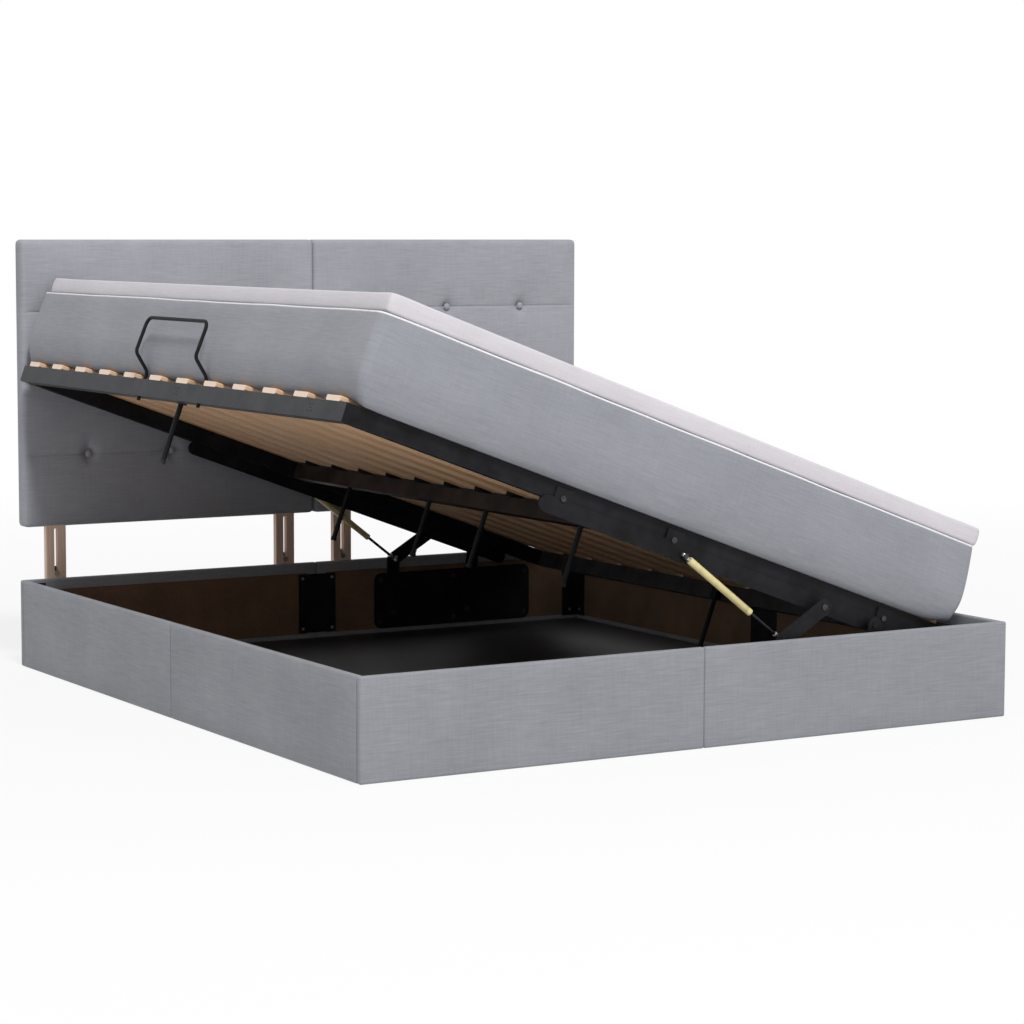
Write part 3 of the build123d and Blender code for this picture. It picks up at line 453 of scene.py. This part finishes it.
def bell(away, width):
    """A soft bump: 1 where away is nothing, and fading over the width."""
    return math.exp(-((away / width) ** 2))


def join(parts):
    """Joins parts into the first of them, and gives it back active."""
    bpy.ops.object.select_all(action="DESELECT")
    for part in parts:
        part.select_set(True)
    bpy.context.view_layer.objects.active = parts[0]
    bpy.ops.object.join()
    return bpy.context.object


# painted light: the headboards get a copy of the linen painted lighter than the box's, which stands in for
# more light falling on them
headboard_linen_painted_lighter = woven_cloth("grey_woven_polyester_linen_headboard", "#8f9096", "#a6a7ad")
channel_count = 3
channel_rows = 28
panel_columns = 126
rim_cuts = 0.0012, 0.004
edge_roll = 0.013
channel_depth = 0.0035
channel_width = 0.012
channel_seam = 0.0028
channel_fade = 0.035
seam_pull = 0.0018
tuft_depth = 0.018
tuft_spread = 0.023
fold_depth = 0.005
fold_width = 0.011
fold_up, fold_down = 0.07, 0.03
held_border, held_reach = 0.016, 1.2
panel_pressure, panel_puff = 1.3, 0.003
panel_face = 0.0035
panel_proud = 0.002
back_round, back_step = 0.006, 0.008
button_share = 0.283
button_radius = 0.0098
button_sink = 0.0132
button_dome = 0.55
button_under = (0.84, 0.5, 0.84)
for side in ("left", "right"):
    low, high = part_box("headboard_" + side)
    size, centre = high - low, (low + high) / 2
    face = low.y + panel_face
    channels = [low.z + size.z * n / (channel_count + 1) for n in range(1, channel_count + 1)]
    columns = [centre.x + turn * size.x * button_share for turn in (-1, 0, 1)]
    tufts = [(x, z) for x in columns for z in (channels[0], channels[-1])]
    bpy.ops.object.select_all(action="DESELECT")
    bpy.ops.mesh.primitive_grid_add(
        x_subdivisions=panel_columns,
        y_subdivisions=channel_rows * (channel_count + 1),
        size=1,
        location=(centre.x, face, centre.z),
        rotation=(math.pi / 2, 0, 0),
    )
    panel = bpy.context.object
    panel.name = "headboard_" + side + "_padded"
    panel.scale = (size.x, size.z, 1)
    settle()
    bpy.ops.object.mode_set(mode="EDIT")
    for axis in (0, 2):
        near_high = [high[axis] - step for step in reversed(rim_cuts)]
        cut([low[axis] + step for step in rim_cuts] + near_high, axis)
    cut([z + turn * channel_seam for z in channels for turn in (-1, 1)], 2)
    bpy.ops.object.mode_set(mode="OBJECT")
    for v in panel.data.vertices:
        near = Vector([max(0.0, edge_roll - inside(v.co[n], low[n], high[n])) for n in (0, 2)])
        if near.length > edge_roll:
            pulled = near * (edge_roll / near.length)
            v.co.x += (near.x - pulled.x) * (1 if v.co.x < centre.x else -1)
            v.co.z += (near.y - pulled.y) * (1 if v.co.z < centre.z else -1)
            near = pulled
        v.co.y += edge_roll - math.sqrt(max(0.0, edge_roll**2 - near.length_squared))
        gap = min(abs(v.co.z - z) for z in channels)
        fade = min(1.0, inside(v.co.x, low.x, high.x) / channel_fade)
        v.co.y += channel_depth * bell(gap, channel_width) * fade
        for x, z in tufts:
            v.co.y += (tuft_depth - channel_depth) * bell(math.hypot(v.co.x - x, v.co.z - z), tuft_spread)
    held = [
        v.index
        for v in panel.data.vertices
        if min(inside(v.co.x, low.x, high.x), inside(v.co.z, low.z, high.z)) < held_border
        or min(abs(v.co.z - z) for z in channels) < channel_seam * held_reach
        or min(math.hypot(v.co.x - x, v.co.z - z) for x, z in tufts) < button_radius * held_reach
    ]
    puff(panel, held, panel_pressure, panel_puff)
    for v in panel.data.vertices:
        if min(abs(v.co.z - z) for z in channels) < channel_seam / 2:
            v.co.y += seam_pull * min(1.0, inside(v.co.x, low.x, high.x) / channel_fade)
        # a short fold runs up and down from each button, where the cloth is drawn in
        for x, z in tufts:
            run = (v.co.z - z) / (fold_up if v.co.z > z else fold_down)
            if abs(run) < 1:
                v.co.y += fold_depth * bell(v.co.x - x, fold_width) * (1 - abs(run))
        v.co.y = max(v.co.y, low.y - panel_proud)
    # the sides run straight back from the rolled rim, and the back is flat with a small round
    bpy.ops.object.mode_set(mode="EDIT")
    pick("edges", lambda e: e.is_boundary)
    for step in (high.y - back_round - face - edge_roll, back_round):
        bpy.ops.mesh.extrude_edges_move(TRANSFORM_OT_translate={"value": (0, step, 0)})
    narrowed = (1 - back_step / size.x, 1, 1 - back_step / size.z)
    bpy.ops.transform.resize(value=narrowed, center_override=tuple(centre))
    bpy.ops.mesh.edge_face_add()
    bpy.ops.mesh.select_all(action="SELECT")
    bpy.ops.mesh.normals_make_consistent(inside=False)
    bpy.ops.object.mode_set(mode="OBJECT")
    for v in panel.data.vertices:
        v.co.y = min(v.co.y, high.y)
    bpy.ops.object.shade_smooth_by_angle(angle=math.radians(50))
    hand_over(panel, headboard_linen_painted_lighter, side + "_headboard", "headboard_" + side)

    # buttons: a metal shell covered in the same linen, in its copy painted lighter as painted light, domed,
    # with its rim turned under
    shells = []
    for x, z in tufts:
        bpy.ops.object.select_all(action="DESELECT")
        bpy.ops.mesh.primitive_uv_sphere_add(
            segments=28, ring_count=14, radius=button_radius, location=(0, 0, 0)
        )
        shell = bpy.context.object
        bpy.ops.object.mode_set(mode="EDIT")
        bpy.ops.transform.resize(value=(1, button_dome, 1), center_override=(0, 0, 0))
        pick("verts", lambda v: v.co.y > 0.0005)
        bpy.ops.transform.resize(value=button_under, center_override=(0, 0, 0))
        bpy.ops.object.mode_set(mode="OBJECT")
        shell.location = (x, low.y + button_sink, z)
        settle()
        shells.append(shell)
    buttons = join(shells)
    buttons.name = "headboard_" + side + "_covered_buttons"
    bpy.ops.object.shade_smooth()
    node = "headboard_buttons_" + side
    hand_over(buttons, headboard_linen_painted_lighter, side + "_headboard", node)

# Lift gear: laser-cut arms and base plates of 3 and 4 mm steel in the black powder coat.
# They turn on shoulder pins and are held by bolts, all in black zinc, rubbed in 4 mm patches.
pin_tones = ((0.35, "#2a2a2d"), (0.75, "#5c5c60"))
black_zinc = spotted("black_zinc_plate", 260.0, 4.0, pin_tones, {"Metallic": 0.8}, rough=(0.35, 0.6))
for end in ("foot", "head"):
    coat(black_powder_coat, "base_plate_" + end, "front_arm_" + end, "rear_arm_" + end)
    coat(black_zinc, "base_pins_" + end, "lid_pins_" + end)

# Gas struts: a drawn tube in pale yellow paint that flowed out in waves of about 17 mm, rolled in
# at its mouth, and a black nitrided rod, wiped in patches of about 11 mm. Pressed zinc eyes hold
# both ends on their studs.
paint_tones = ((0.3, "#cfc184"), (0.7, "#e0d49b"))
paint_gloss = {"Roughness": 0.32, "Coat Weight": 0.3}
yellow_paint = spotted("pale_yellow_gloss_paint", 60.0, 3.0, paint_tones, paint_gloss, relief=(0.08, 0.0003))
rod_tones = ((0.0, "#101013"), (1.0, "#2a2a2e"))
black_rod = spotted("black_nitrided_steel", 90.0, 3.0, rod_tones, {"Metallic": 0.6}, rough=(0.2, 0.4))

strut_top = Vector((-0.03203, 0, 0.45426))
strut_elbow = Vector((0.24814, 0, 0.23774))
strut_layer = 0.972
tube_radius, tube_start, tube_length = 0.009, 0.018, 0.222
mouth_groove = 0.013, 0.0115, 0.010
mouth_neck = 0.9
neck_radius, neck_overlap = 0.0055, 0.001
rod_radius, rod_hidden = 0.004, 0.07
eye_radius, eye_width, eye_play = 0.009, 0.008, 0.0003
stud_radius, stud_length, stud_out = 0.004, 0.0105, 0.0055
socket_radius, socket_length = 0.0065, 0.024
tube_rim, neck_rim, rod_rim, eye_rim = 0.0012, 0.001, 0.0006, 0.0008
strut_run = strut_elbow - strut_top
strut_turn = strut_run.to_track_quat("Z", "Y").to_matrix().to_4x4()
crosswise = (math.pi / 2, 0, 0)


def level(edge):
    """True for an edge whose ends are at one height."""
    return abs(edge.verts[0].co.z - edge.verts[1].co.z) < 1e-6


def add_bar(radius, start, length, sides, bevel, material):
    """A turned bar on the strut's own line, from start, with its rims broken."""
    bpy.ops.object.select_all(action="DESELECT")
    middle = (0, 0, start + length / 2)
    bpy.ops.mesh.primitive_cylinder_add(vertices=sides, radius=radius, depth=length, location=middle)
    bar = bpy.context.object
    settle()
    bpy.ops.object.mode_set(mode="EDIT")
    pick("edges", level)
    bpy.ops.mesh.bevel(offset=bevel, segments=3, affect="EDGES")
    bpy.ops.object.mode_set(mode="OBJECT")
    bar.data.materials.append(material)
    return bar


def add_eye(place, material):
    """A pressed eye across the strut's line: a short ring with a hole for its stud."""
    bpy.ops.object.select_all(action="DESELECT")
    bpy.ops.mesh.primitive_cylinder_add(
        vertices=36, radius=eye_radius, depth=eye_width, location=(0, 0, 0), rotation=crosswise
    )
    eye = bpy.context.object
    eye.location.z = place
    settle()
    bpy.ops.object.mode_set(mode="EDIT")
    pick("faces", lambda f: abs(f.normal.y) > 0.9)
    bpy.ops.mesh.inset(thickness=eye_radius - stud_radius - eye_play)
    bpy.ops.mesh.bridge_edge_loops()
    pick(
        "edges",
        lambda e: len(e.link_faces) == 2
        and abs(e.verts[0].co.y - e.verts[1].co.y) < 1e-6
        and e.calc_face_angle(0) > 1,
    )
    bpy.ops.mesh.bevel(offset=eye_rim, segments=2, affect="EDGES")
    bpy.ops.object.mode_set(mode="OBJECT")
    eye.data.materials.append(material)
    return eye


def join_strut(parts, name, place, body, node):
    """Joins the parts of a strut's half and puts it on its line in the frame."""
    half = join(parts)
    half.name = name
    half.matrix_world = Matrix.Translation(place) @ strut_turn
    settle()
    bpy.ops.object.shade_smooth_by_angle(angle=math.radians(35))
    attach(half, body)
    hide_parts(node)


for end, turn in (("foot", -1), ("head", 1)):
    place = strut_top + Vector((0, turn * strut_layer, 0))
    tube = add_bar(tube_radius, tube_start, tube_length, 40, tube_rim, yellow_paint)
    mouth = tube_start + tube_length
    bpy.ops.object.mode_set(mode="EDIT")
    cut([mouth - back for back in mouth_groove], 2)
    pick("verts", lambda v: abs(v.co.z - mouth + mouth_groove[1]) < 1e-5)
    bpy.ops.transform.resize(value=(mouth_neck, mouth_neck, 1), center_override=(0, 0, 0))
    bpy.ops.object.mode_set(mode="OBJECT")
    neck_start = eye_radius * 0.8
    neck_length = tube_start - neck_start + neck_overlap
    neck = add_bar(neck_radius, neck_start, neck_length, 24, neck_rim, zinc_plate)
    half = [tube, neck, add_eye(0, zinc_plate)]
    body, node = end + "_strut_cylinder", "strut_cylinder_" + end
    join_strut(half, "strut_tube_" + end, place, body, node)
    rod_end = strut_run.length - socket_length
    rod = add_bar(rod_radius, mouth - rod_hidden, rod_end - mouth + rod_hidden, 32, rod_rim, black_rod)
    socket = add_bar(socket_radius, rod_end, socket_length - eye_radius / 2, 32, neck_rim, zinc_plate)
    bpy.ops.object.select_all(action="DESELECT")
    bpy.ops.mesh.primitive_cylinder_add(
        vertices=24, radius=stud_radius, depth=stud_length, rotation=crosswise
    )
    stud = bpy.context.object
    stud.location = (0, turn * stud_out, strut_run.length)
    settle()
    stud.data.materials.append(zinc_plate)
    half = [rod, socket, stud, add_eye(strut_run.length, zinc_plate)]
    body, node = end + "_strut_rod", "strut_rod_" + end
    join_strut(half, "strut_rod_" + end + "_turned", place, body, node)

# Lid frame: mitred square tube in an anthracite powder coat, with a beam down its middle.
# A flat bar hangs below each end rail to carry the lift gear.
anthracite_coat = powder_coat("anthracite_powder_coat", "#2e2f32", "#545558", 0.5)
coat(anthracite_coat, "lid_rail_left", "lid_rail_right")
coat(black_powder_coat, "lid_rail_foot", "lid_rail_head", "lift_bar_foot", "lift_bar_head")
brown_coat = powder_coat("brown_black_powder_coat", "#211a17", "#54463e", 0.6)
coat(brown_coat, "middle_beam")

# Slats: 13 mm laminated beech, rounded along both edges, in two fields of twelve. The faces are
# warm brown, the veneers show on the edges, and palest on the sawn ends. The grain is about 4 mm
# wide and the veneers are 2.6 mm thick. Black plastic shoes hold the slats.
lid_lean = math.radians(20)
veneer = 0.0026
laminated_beech, tree, shader = new_finish("laminated_beech")
beech_tones = ((0.32, "#cb9362"), (0.68, "#f0c290"))
turned, faces = grained(tree, shader, (7, 230, 60), beech_tones, 0.0003, lean=-lid_lean)
layers = add_node(tree, "ShaderNodeSeparateXYZ", {0: turned.outputs[0]})
bands = {0: layers.outputs[2], 1: 2 * math.pi / veneer}
bands = add_node(tree, "ShaderNodeMath", bands, operation="MULTIPLY")
bands = add_node(tree, "ShaderNodeMath", {0: bands.outputs[0]}, operation="SINE")
lines = {"Value": bands.outputs[0], "From Min": 0.75, "From Max": 1.0, "To Min": 0.0, "To Max": 0.45}
glue = add_node(tree, "ShaderNodeMapRange", lines).outputs[0]
end_plies = {"Factor": glue, 6: colour("#f1d9c4"), 7: colour("#c49e7c")}
end_plies = add_node(tree, "ShaderNodeMix", end_plies, data_type="RGBA").outputs[2]
edge_plies = {"Factor": glue, 6: colour("#ecc5a0"), 7: colour("#c39a72")}
edge_plies = add_node(tree, "ShaderNodeMix", edge_plies, data_type="RGBA").outputs[2]
place = add_node(tree, "ShaderNodeTexCoord")
straight = {"Vector": place.outputs["Normal"], "Rotation": (0, -lid_lean, 0)}
facing = add_node(tree, "ShaderNodeMapping", straight, vector_type="NORMAL")
facing = add_node(tree, "ShaderNodeSeparateXYZ", {0: facing.outputs[0]})
shares = []
for axis in (0, 2):
    toward = add_node(tree, "ShaderNodeMath", {0: facing.outputs[axis]}, operation="ABSOLUTE")
    toward = {"Value": toward.outputs[0], "From Min": 0.6, "From Max": 0.9}
    shares.append(add_node(tree, "ShaderNodeMapRange", toward).outputs[0])
endwise, flat = shares
bare = {"Factor": endwise, 6: edge_plies, 7: end_plies}
bare = add_node(tree, "ShaderNodeMix", bare, data_type="RGBA").outputs[2]
wood = {"Factor": flat, 6: bare, 7: faces.outputs[0]}
wood = add_node(tree, "ShaderNodeMix", wood, data_type="RGBA").outputs[2]
feed(tree, shader, {"Base Color": wood, "Roughness": 0.5})
coat(laminated_beech, "slats_left", "slats_right")

# nylon: a spark-eroded mould leaves a fine skin, drawn 1.4 mm coarse so that it shows
nylon_tones = ((0.0, "#141416"), (1.0, "#232326"))
nylon_gloss = {"Roughness": 0.6}
black_nylon = spotted("moulded_black_nylon", 700.0, 2.0, nylon_tones, nylon_gloss, relief=(0.25, 0.0003))
coat(black_nylon, "slat_holders")

# Support legs: thin black steel tubes under the beam and the long rails, which stand on the
# storage floor when the lid is down. Each ends in a rubber foot with a bloom of about 4 mm.
coat(black_powder_coat, "support_legs")
rubber_tones = ((0.0, "#151515"), (1.0, "#2c2b2a"))
rubber_gloss = {"Roughness": 0.9}
black_rubber = spotted("moulded_black_rubber", 240.0, 3.0, rubber_tones, rubber_gloss, relief=(0.2, 0.0004))
coat(black_rubber, "support_feet")


# Mattress stop: one 9 mm steel wire, bent to a flat-topped loop that leans out and back,
# in the black powder coat. Its tails go down through the left rail.
def thicken(line, radius, roundness):
    """Turns a line of edges into a round cord or wire."""
    bpy.ops.object.convert(target="CURVE")
    line.data.bevel_depth = radius
    line.data.bevel_resolution = roundness
    line.data.use_fill_caps = True
    bpy.ops.object.convert(target="MESH")


lid_place = Matrix.Translation((-0.0725, 0, 0.54774)) @ Matrix.Rotation(lid_lean, 4, "Y")
stop_radius = 0.0045
stop_x, stop_middle, stop_half = -0.8833, -0.0201, 0.178
stop_rise = ((0, -0.067), (0, 0.008), (-0.046, 0.046), (-0.042, 0.138))
stop_bend, stop_corner = 0.009, 0.022
stop_route = [(stop_x + x, stop_middle + stop_half, z) for x, z in stop_rise]
stop_route += [(stop_x + x, stop_middle - stop_half, z) for x, z in reversed(stop_rise)]
bpy.ops.object.select_all(action="DESELECT")
bpy.ops.mesh.primitive_plane_add(size=0.1)
wire = bpy.context.object
wire.name = "mattress_stop_wire"
bpy.ops.object.mode_set(mode="EDIT")
bpy.ops.mesh.merge(type="CENTER")
pick("verts", lambda v: True)
bpy.ops.transform.translate(value=stop_route[0])
for start, end in zip(stop_route, stop_route[1:]):
    bpy.ops.mesh.extrude_vertices_move(TRANSFORM_OT_translate={"value": Vector(end) - Vector(start)})
corners = [Vector(point) for point in stop_route[3:5]]
pick("verts", lambda v: len(v.link_edges) == 2 and min((v.co - c).length for c in corners) > 1e-4)
bpy.ops.mesh.bevel(offset=stop_bend, segments=6, affect="VERTICES")
pick("verts", lambda v: min((v.co - c).length for c in corners) < 1e-4)
bpy.ops.mesh.bevel(offset=stop_corner, segments=8, affect="VERTICES")
bpy.ops.object.mode_set(mode="OBJECT")
thicken(wire, stop_radius, 5)
wire.matrix_world = lid_place
settle()
bpy.ops.object.shade_smooth_by_angle(angle=math.radians(50))
hand_over(wire, black_powder_coat, "lid", "mattress_stop")


# Mattress: a sprung core in foam, sewn into the same grey linen. Its sides bulge, draw in at
# the base, and pucker a little under the corded seam. The sides are simulated as cloth.
def rim(edge):
    """True for a level edge between a face that looks up or down and one that doesn't."""
    return level(edge) and len({round(face.normal.z) for face in edge.link_faces}) > 1


def refine(piece):
    """Smooths a padded piece once and keeps the result in its mesh."""
    smooth = piece.modifiers.new("Smooth", "SUBSURF")
    smooth.levels = smooth.render_levels = 1
    bpy.ops.object.modifier_apply(modifier=smooth.name)


def lay_on_lid(piece, slide=0.0):
    """Puts a soft piece that was made level on the leaning lid."""
    piece.matrix_world = lid_place @ Matrix.Translation((slide, 0, 0))
    settle()
    bpy.ops.object.shade_smooth()


mattress_linen = woven_cloth("grey_woven_mattress_linen", "#85878d", "#999ba1", lean=-lid_lean)
mattress_height = 0.2
mattress_corner = 0.02
mattress_top = Vector((0.8923, 0.988))
mattress_bulge_left, mattress_bulge_right = 0.8973, 0.9035
mattress_bulge_foot, mattress_bulge_head = 0.9925, 0.9885
mattress_base_left, mattress_base_right = 0.8713, 0.8943
mattress_base_foot, mattress_base_head = 0.97, 0.976
bulge_share = 0.36
bulge_fullness = 0.8
seam_step, base_round = 0.006, 0.009
ring_heights = (0.022, 0.036, 0.052, 0.07, 0.09, 0.11, 0.13, 0.15, 0.166, 0.178, 0.187)
mattress_grid = 0.045
mattress_droop = 0.0122
droop_start, droop_half_width, droop_fade, droop_rise = 0.9275, 0.852, 0.02, 0.075
droop_cuts = -0.001, 0.002
held_low, held_high = 0.014, 0.19
mattress_pressure, mattress_puff = 2.5, 0.0025
pucker_low, pucker_high, pucker_depth, pucker_run = 0.15, 0.195, 0.0012, 150
pucker_reach = mattress_top * 0.99
mattress = add_block("mattress_linen", (*-mattress_top, 0), (*mattress_top, mattress_height))
bpy.ops.object.mode_set(mode="EDIT")
pick("edges", lambda e: abs(e.verts[0].co.z - e.verts[1].co.z) > mattress_height / 2)
bpy.ops.mesh.bevel(offset=mattress_corner, segments=5, affect="EDGES")
pick("edges", lambda e: rim(e) and e.verts[0].co.z > mattress_height / 2)
bpy.ops.mesh.bevel(offset=seam_step, segments=2, affect="EDGES")
pick("edges", lambda e: rim(e) and e.verts[0].co.z < mattress_height / 2)
bpy.ops.mesh.bevel(offset=base_round, segments=3, affect="EDGES")
cut(ring_heights, 2)
for axis in (0, 1):
    side = mattress_top[axis] - mattress_corner
    cut(steps(-side, side, mattress_grid), axis)
droops = [(droop_start + step) * mattress_top.y / mattress_base_foot for step in droop_cuts]
cut([turn * droop for turn in (-1, 1) for droop in droops], 1)
bpy.ops.object.mode_set(mode="OBJECT")
for v in mattress.data.vertices:
    share = v.co.z / mattress_height
    left, foot = v.co.x < 0, v.co.y < 0
    base = Vector((
        mattress_base_left if left else mattress_base_right,
        mattress_base_foot if foot else mattress_base_head,
    ))
    bulge = Vector((
        mattress_bulge_left if left else mattress_bulge_right,
        mattress_bulge_foot if foot else mattress_bulge_head,
    ))
    if share < bulge_share:
        reach = base.lerp(bulge, math.sin(math.pi / 2 * share / bulge_share) ** bulge_fullness)
    else:
        above = (share - bulge_share) / (1 - bulge_share)
        reach = mattress_top.lerp(bulge, math.cos(math.pi / 2 * above))
    v.co.x *= reach.x / mattress_top.x
    v.co.y *= reach.y / mattress_top.y
    # the base sinks a little over the end rails, between the long rails
    if abs(v.co.y) > droop_start:
        fade = min(1.0, max(0.0, (droop_half_width + droop_fade - abs(v.co.x)) / droop_fade))
        v.co.z -= mattress_droop * fade * max(0.0, 1 - v.co.z / droop_rise)
held = [v.index for v in mattress.data.vertices if not held_low < v.co.z < held_high]
puff(mattress, held, mattress_pressure, mattress_puff)
refine(mattress)
for v in mattress.data.vertices:
    on_side = abs(v.co.x) > pucker_reach.x
    if pucker_low < v.co.z < pucker_high and (on_side or abs(v.co.y) > pucker_reach.y):
        run = v.co.y if on_side else v.co.x
        pucker = math.sin(run * pucker_run + 3 * noise.noise(Vector((run * 9, v.co.x * 0.5, 2))))
        pucker *= noise.noise(Vector((run * 5, 4, v.co.y * 0.4)))
        rise = (v.co.z - pucker_low) / (pucker_high - pucker_low)
        v.co += Vector((v.co.x, v.co.y, 0)).normalized() * pucker_depth * pucker * rise
lay_on_lid(mattress)
hand_over(mattress, mattress_linen, "lid", "mattress")

# Piping: a white cord in a bias strip, sewn all round the mattress's top edge. Its twill is drawn
# 1.4 mm wide. It wanders a little up and down, as a hand-fed seam does.
white_piping, tree, shader = new_finish("white_cotton_piping")
place = add_node(tree, "ShaderNodeTexCoord")
slanted = {"Vector": place.outputs["Object"], "Rotation": (0.6, 0.7, 0.4), "Scale": (700, 80, 700)}
along = add_node(tree, "ShaderNodeMapping", slanted)
twill = add_node(tree, "ShaderNodeTexNoise", {"Vector": along.outputs[0], "Scale": 1.0, "Detail": 3.0})
ramp = add_node(tree, "ShaderNodeValToRGB", {0: twill.outputs[0]}, ((0.3, "#d8d8da"), (0.7, "#f4f4f5")))
relief = add_node(tree, "ShaderNodeBump", {"Height": twill.outputs[0], "Strength": 0.3, "Distance": 0.0006})
feed(tree, shader, {"Base Color": ramp.outputs[0], "Normal": relief.outputs[0], "Roughness": 0.85})
piping_radius = 0.003
piping_wander = 0.0018
piping_reach = Vector((0.8893, 0.985))
piping_height = 0.1968
piping_cuts, piping_ripples = 60, 6
bpy.ops.object.select_all(action="DESELECT")
bpy.ops.mesh.primitive_plane_add(size=2)
piping = bpy.context.object
piping.name = "mattress_piping_cord"
piping.scale = (piping_reach.x, piping_reach.y, 1)
piping.location = (0, 0, piping_height)
settle()
bpy.ops.object.mode_set(mode="EDIT")
bpy.ops.mesh.select_all(action="SELECT")
bpy.ops.mesh.delete(type="ONLY_FACE")
bpy.ops.mesh.select_all(action="SELECT")
bpy.ops.mesh.bevel(offset=mattress_corner - piping_radius, segments=6, affect="VERTICES")
pick("edges", lambda e: e.calc_length() > 0.1)
bpy.ops.mesh.subdivide(number_cuts=piping_cuts)
bpy.ops.object.mode_set(mode="OBJECT")
for v in piping.data.vertices:
    v.co.z += piping_wander * noise.noise(Vector((v.co.x * piping_ripples, v.co.y * piping_ripples, 1)))
thicken(piping, piping_radius, 3)
lay_on_lid(piping)
hand_over(piping, white_piping, "lid", "mattress_piping")

# Topper: a 50 mm foam pad in a pale knitted cover, loose on the mattress. The side band
# bulges a little between its two sewn edges, and the top is slightly full.
pale_knit = woven_cloth("pale_knitted_polyester", "#c7c3c8", "#d6d2d7", lean=-lid_lean)
topper_low, topper_high = 0.2005, 0.2482
topper_reach = Vector((0.8872, 0.9842))
topper_bulge = 0.0025
topper_corner = 0.014
topper_edge = 0.006
topper_rings = (0.2085, 0.215, 0.2245, 0.234, 0.2405)
topper_grid = 0.04
topper_held = 0.243
topper_pressure, topper_puff = 1.2, 0.0025
topper_slide = 0.009
topper = add_block("topper_knit", (*-topper_reach, topper_low), (*topper_reach, topper_high))
bpy.ops.object.mode_set(mode="EDIT")
pick("edges", lambda e: not level(e))
bpy.ops.mesh.bevel(offset=topper_corner, segments=4, affect="EDGES")
pick("edges", rim)
bpy.ops.mesh.bevel(offset=topper_edge, segments=3, affect="EDGES")
cut(topper_rings, 2)
for axis in (0, 1):
    side = topper_reach[axis] - topper_corner
    cut(steps(-side, side, topper_grid), axis)
bpy.ops.object.mode_set(mode="OBJECT")
for v in topper.data.vertices:
    bulge = topper_bulge * math.sin(math.pi * (v.co.z - topper_low) / (topper_high - topper_low))
    v.co.x *= 1 + bulge / topper_reach.x
    v.co.y *= 1 + bulge / topper_reach.y
puff(topper, [v.index for v in topper.data.vertices if v.co.z < topper_held], topper_pressure, topper_puff)
refine(topper)
lay_on_lid(topper, topper_slide)
hand_over(topper, pale_knit, "lid", "topper")
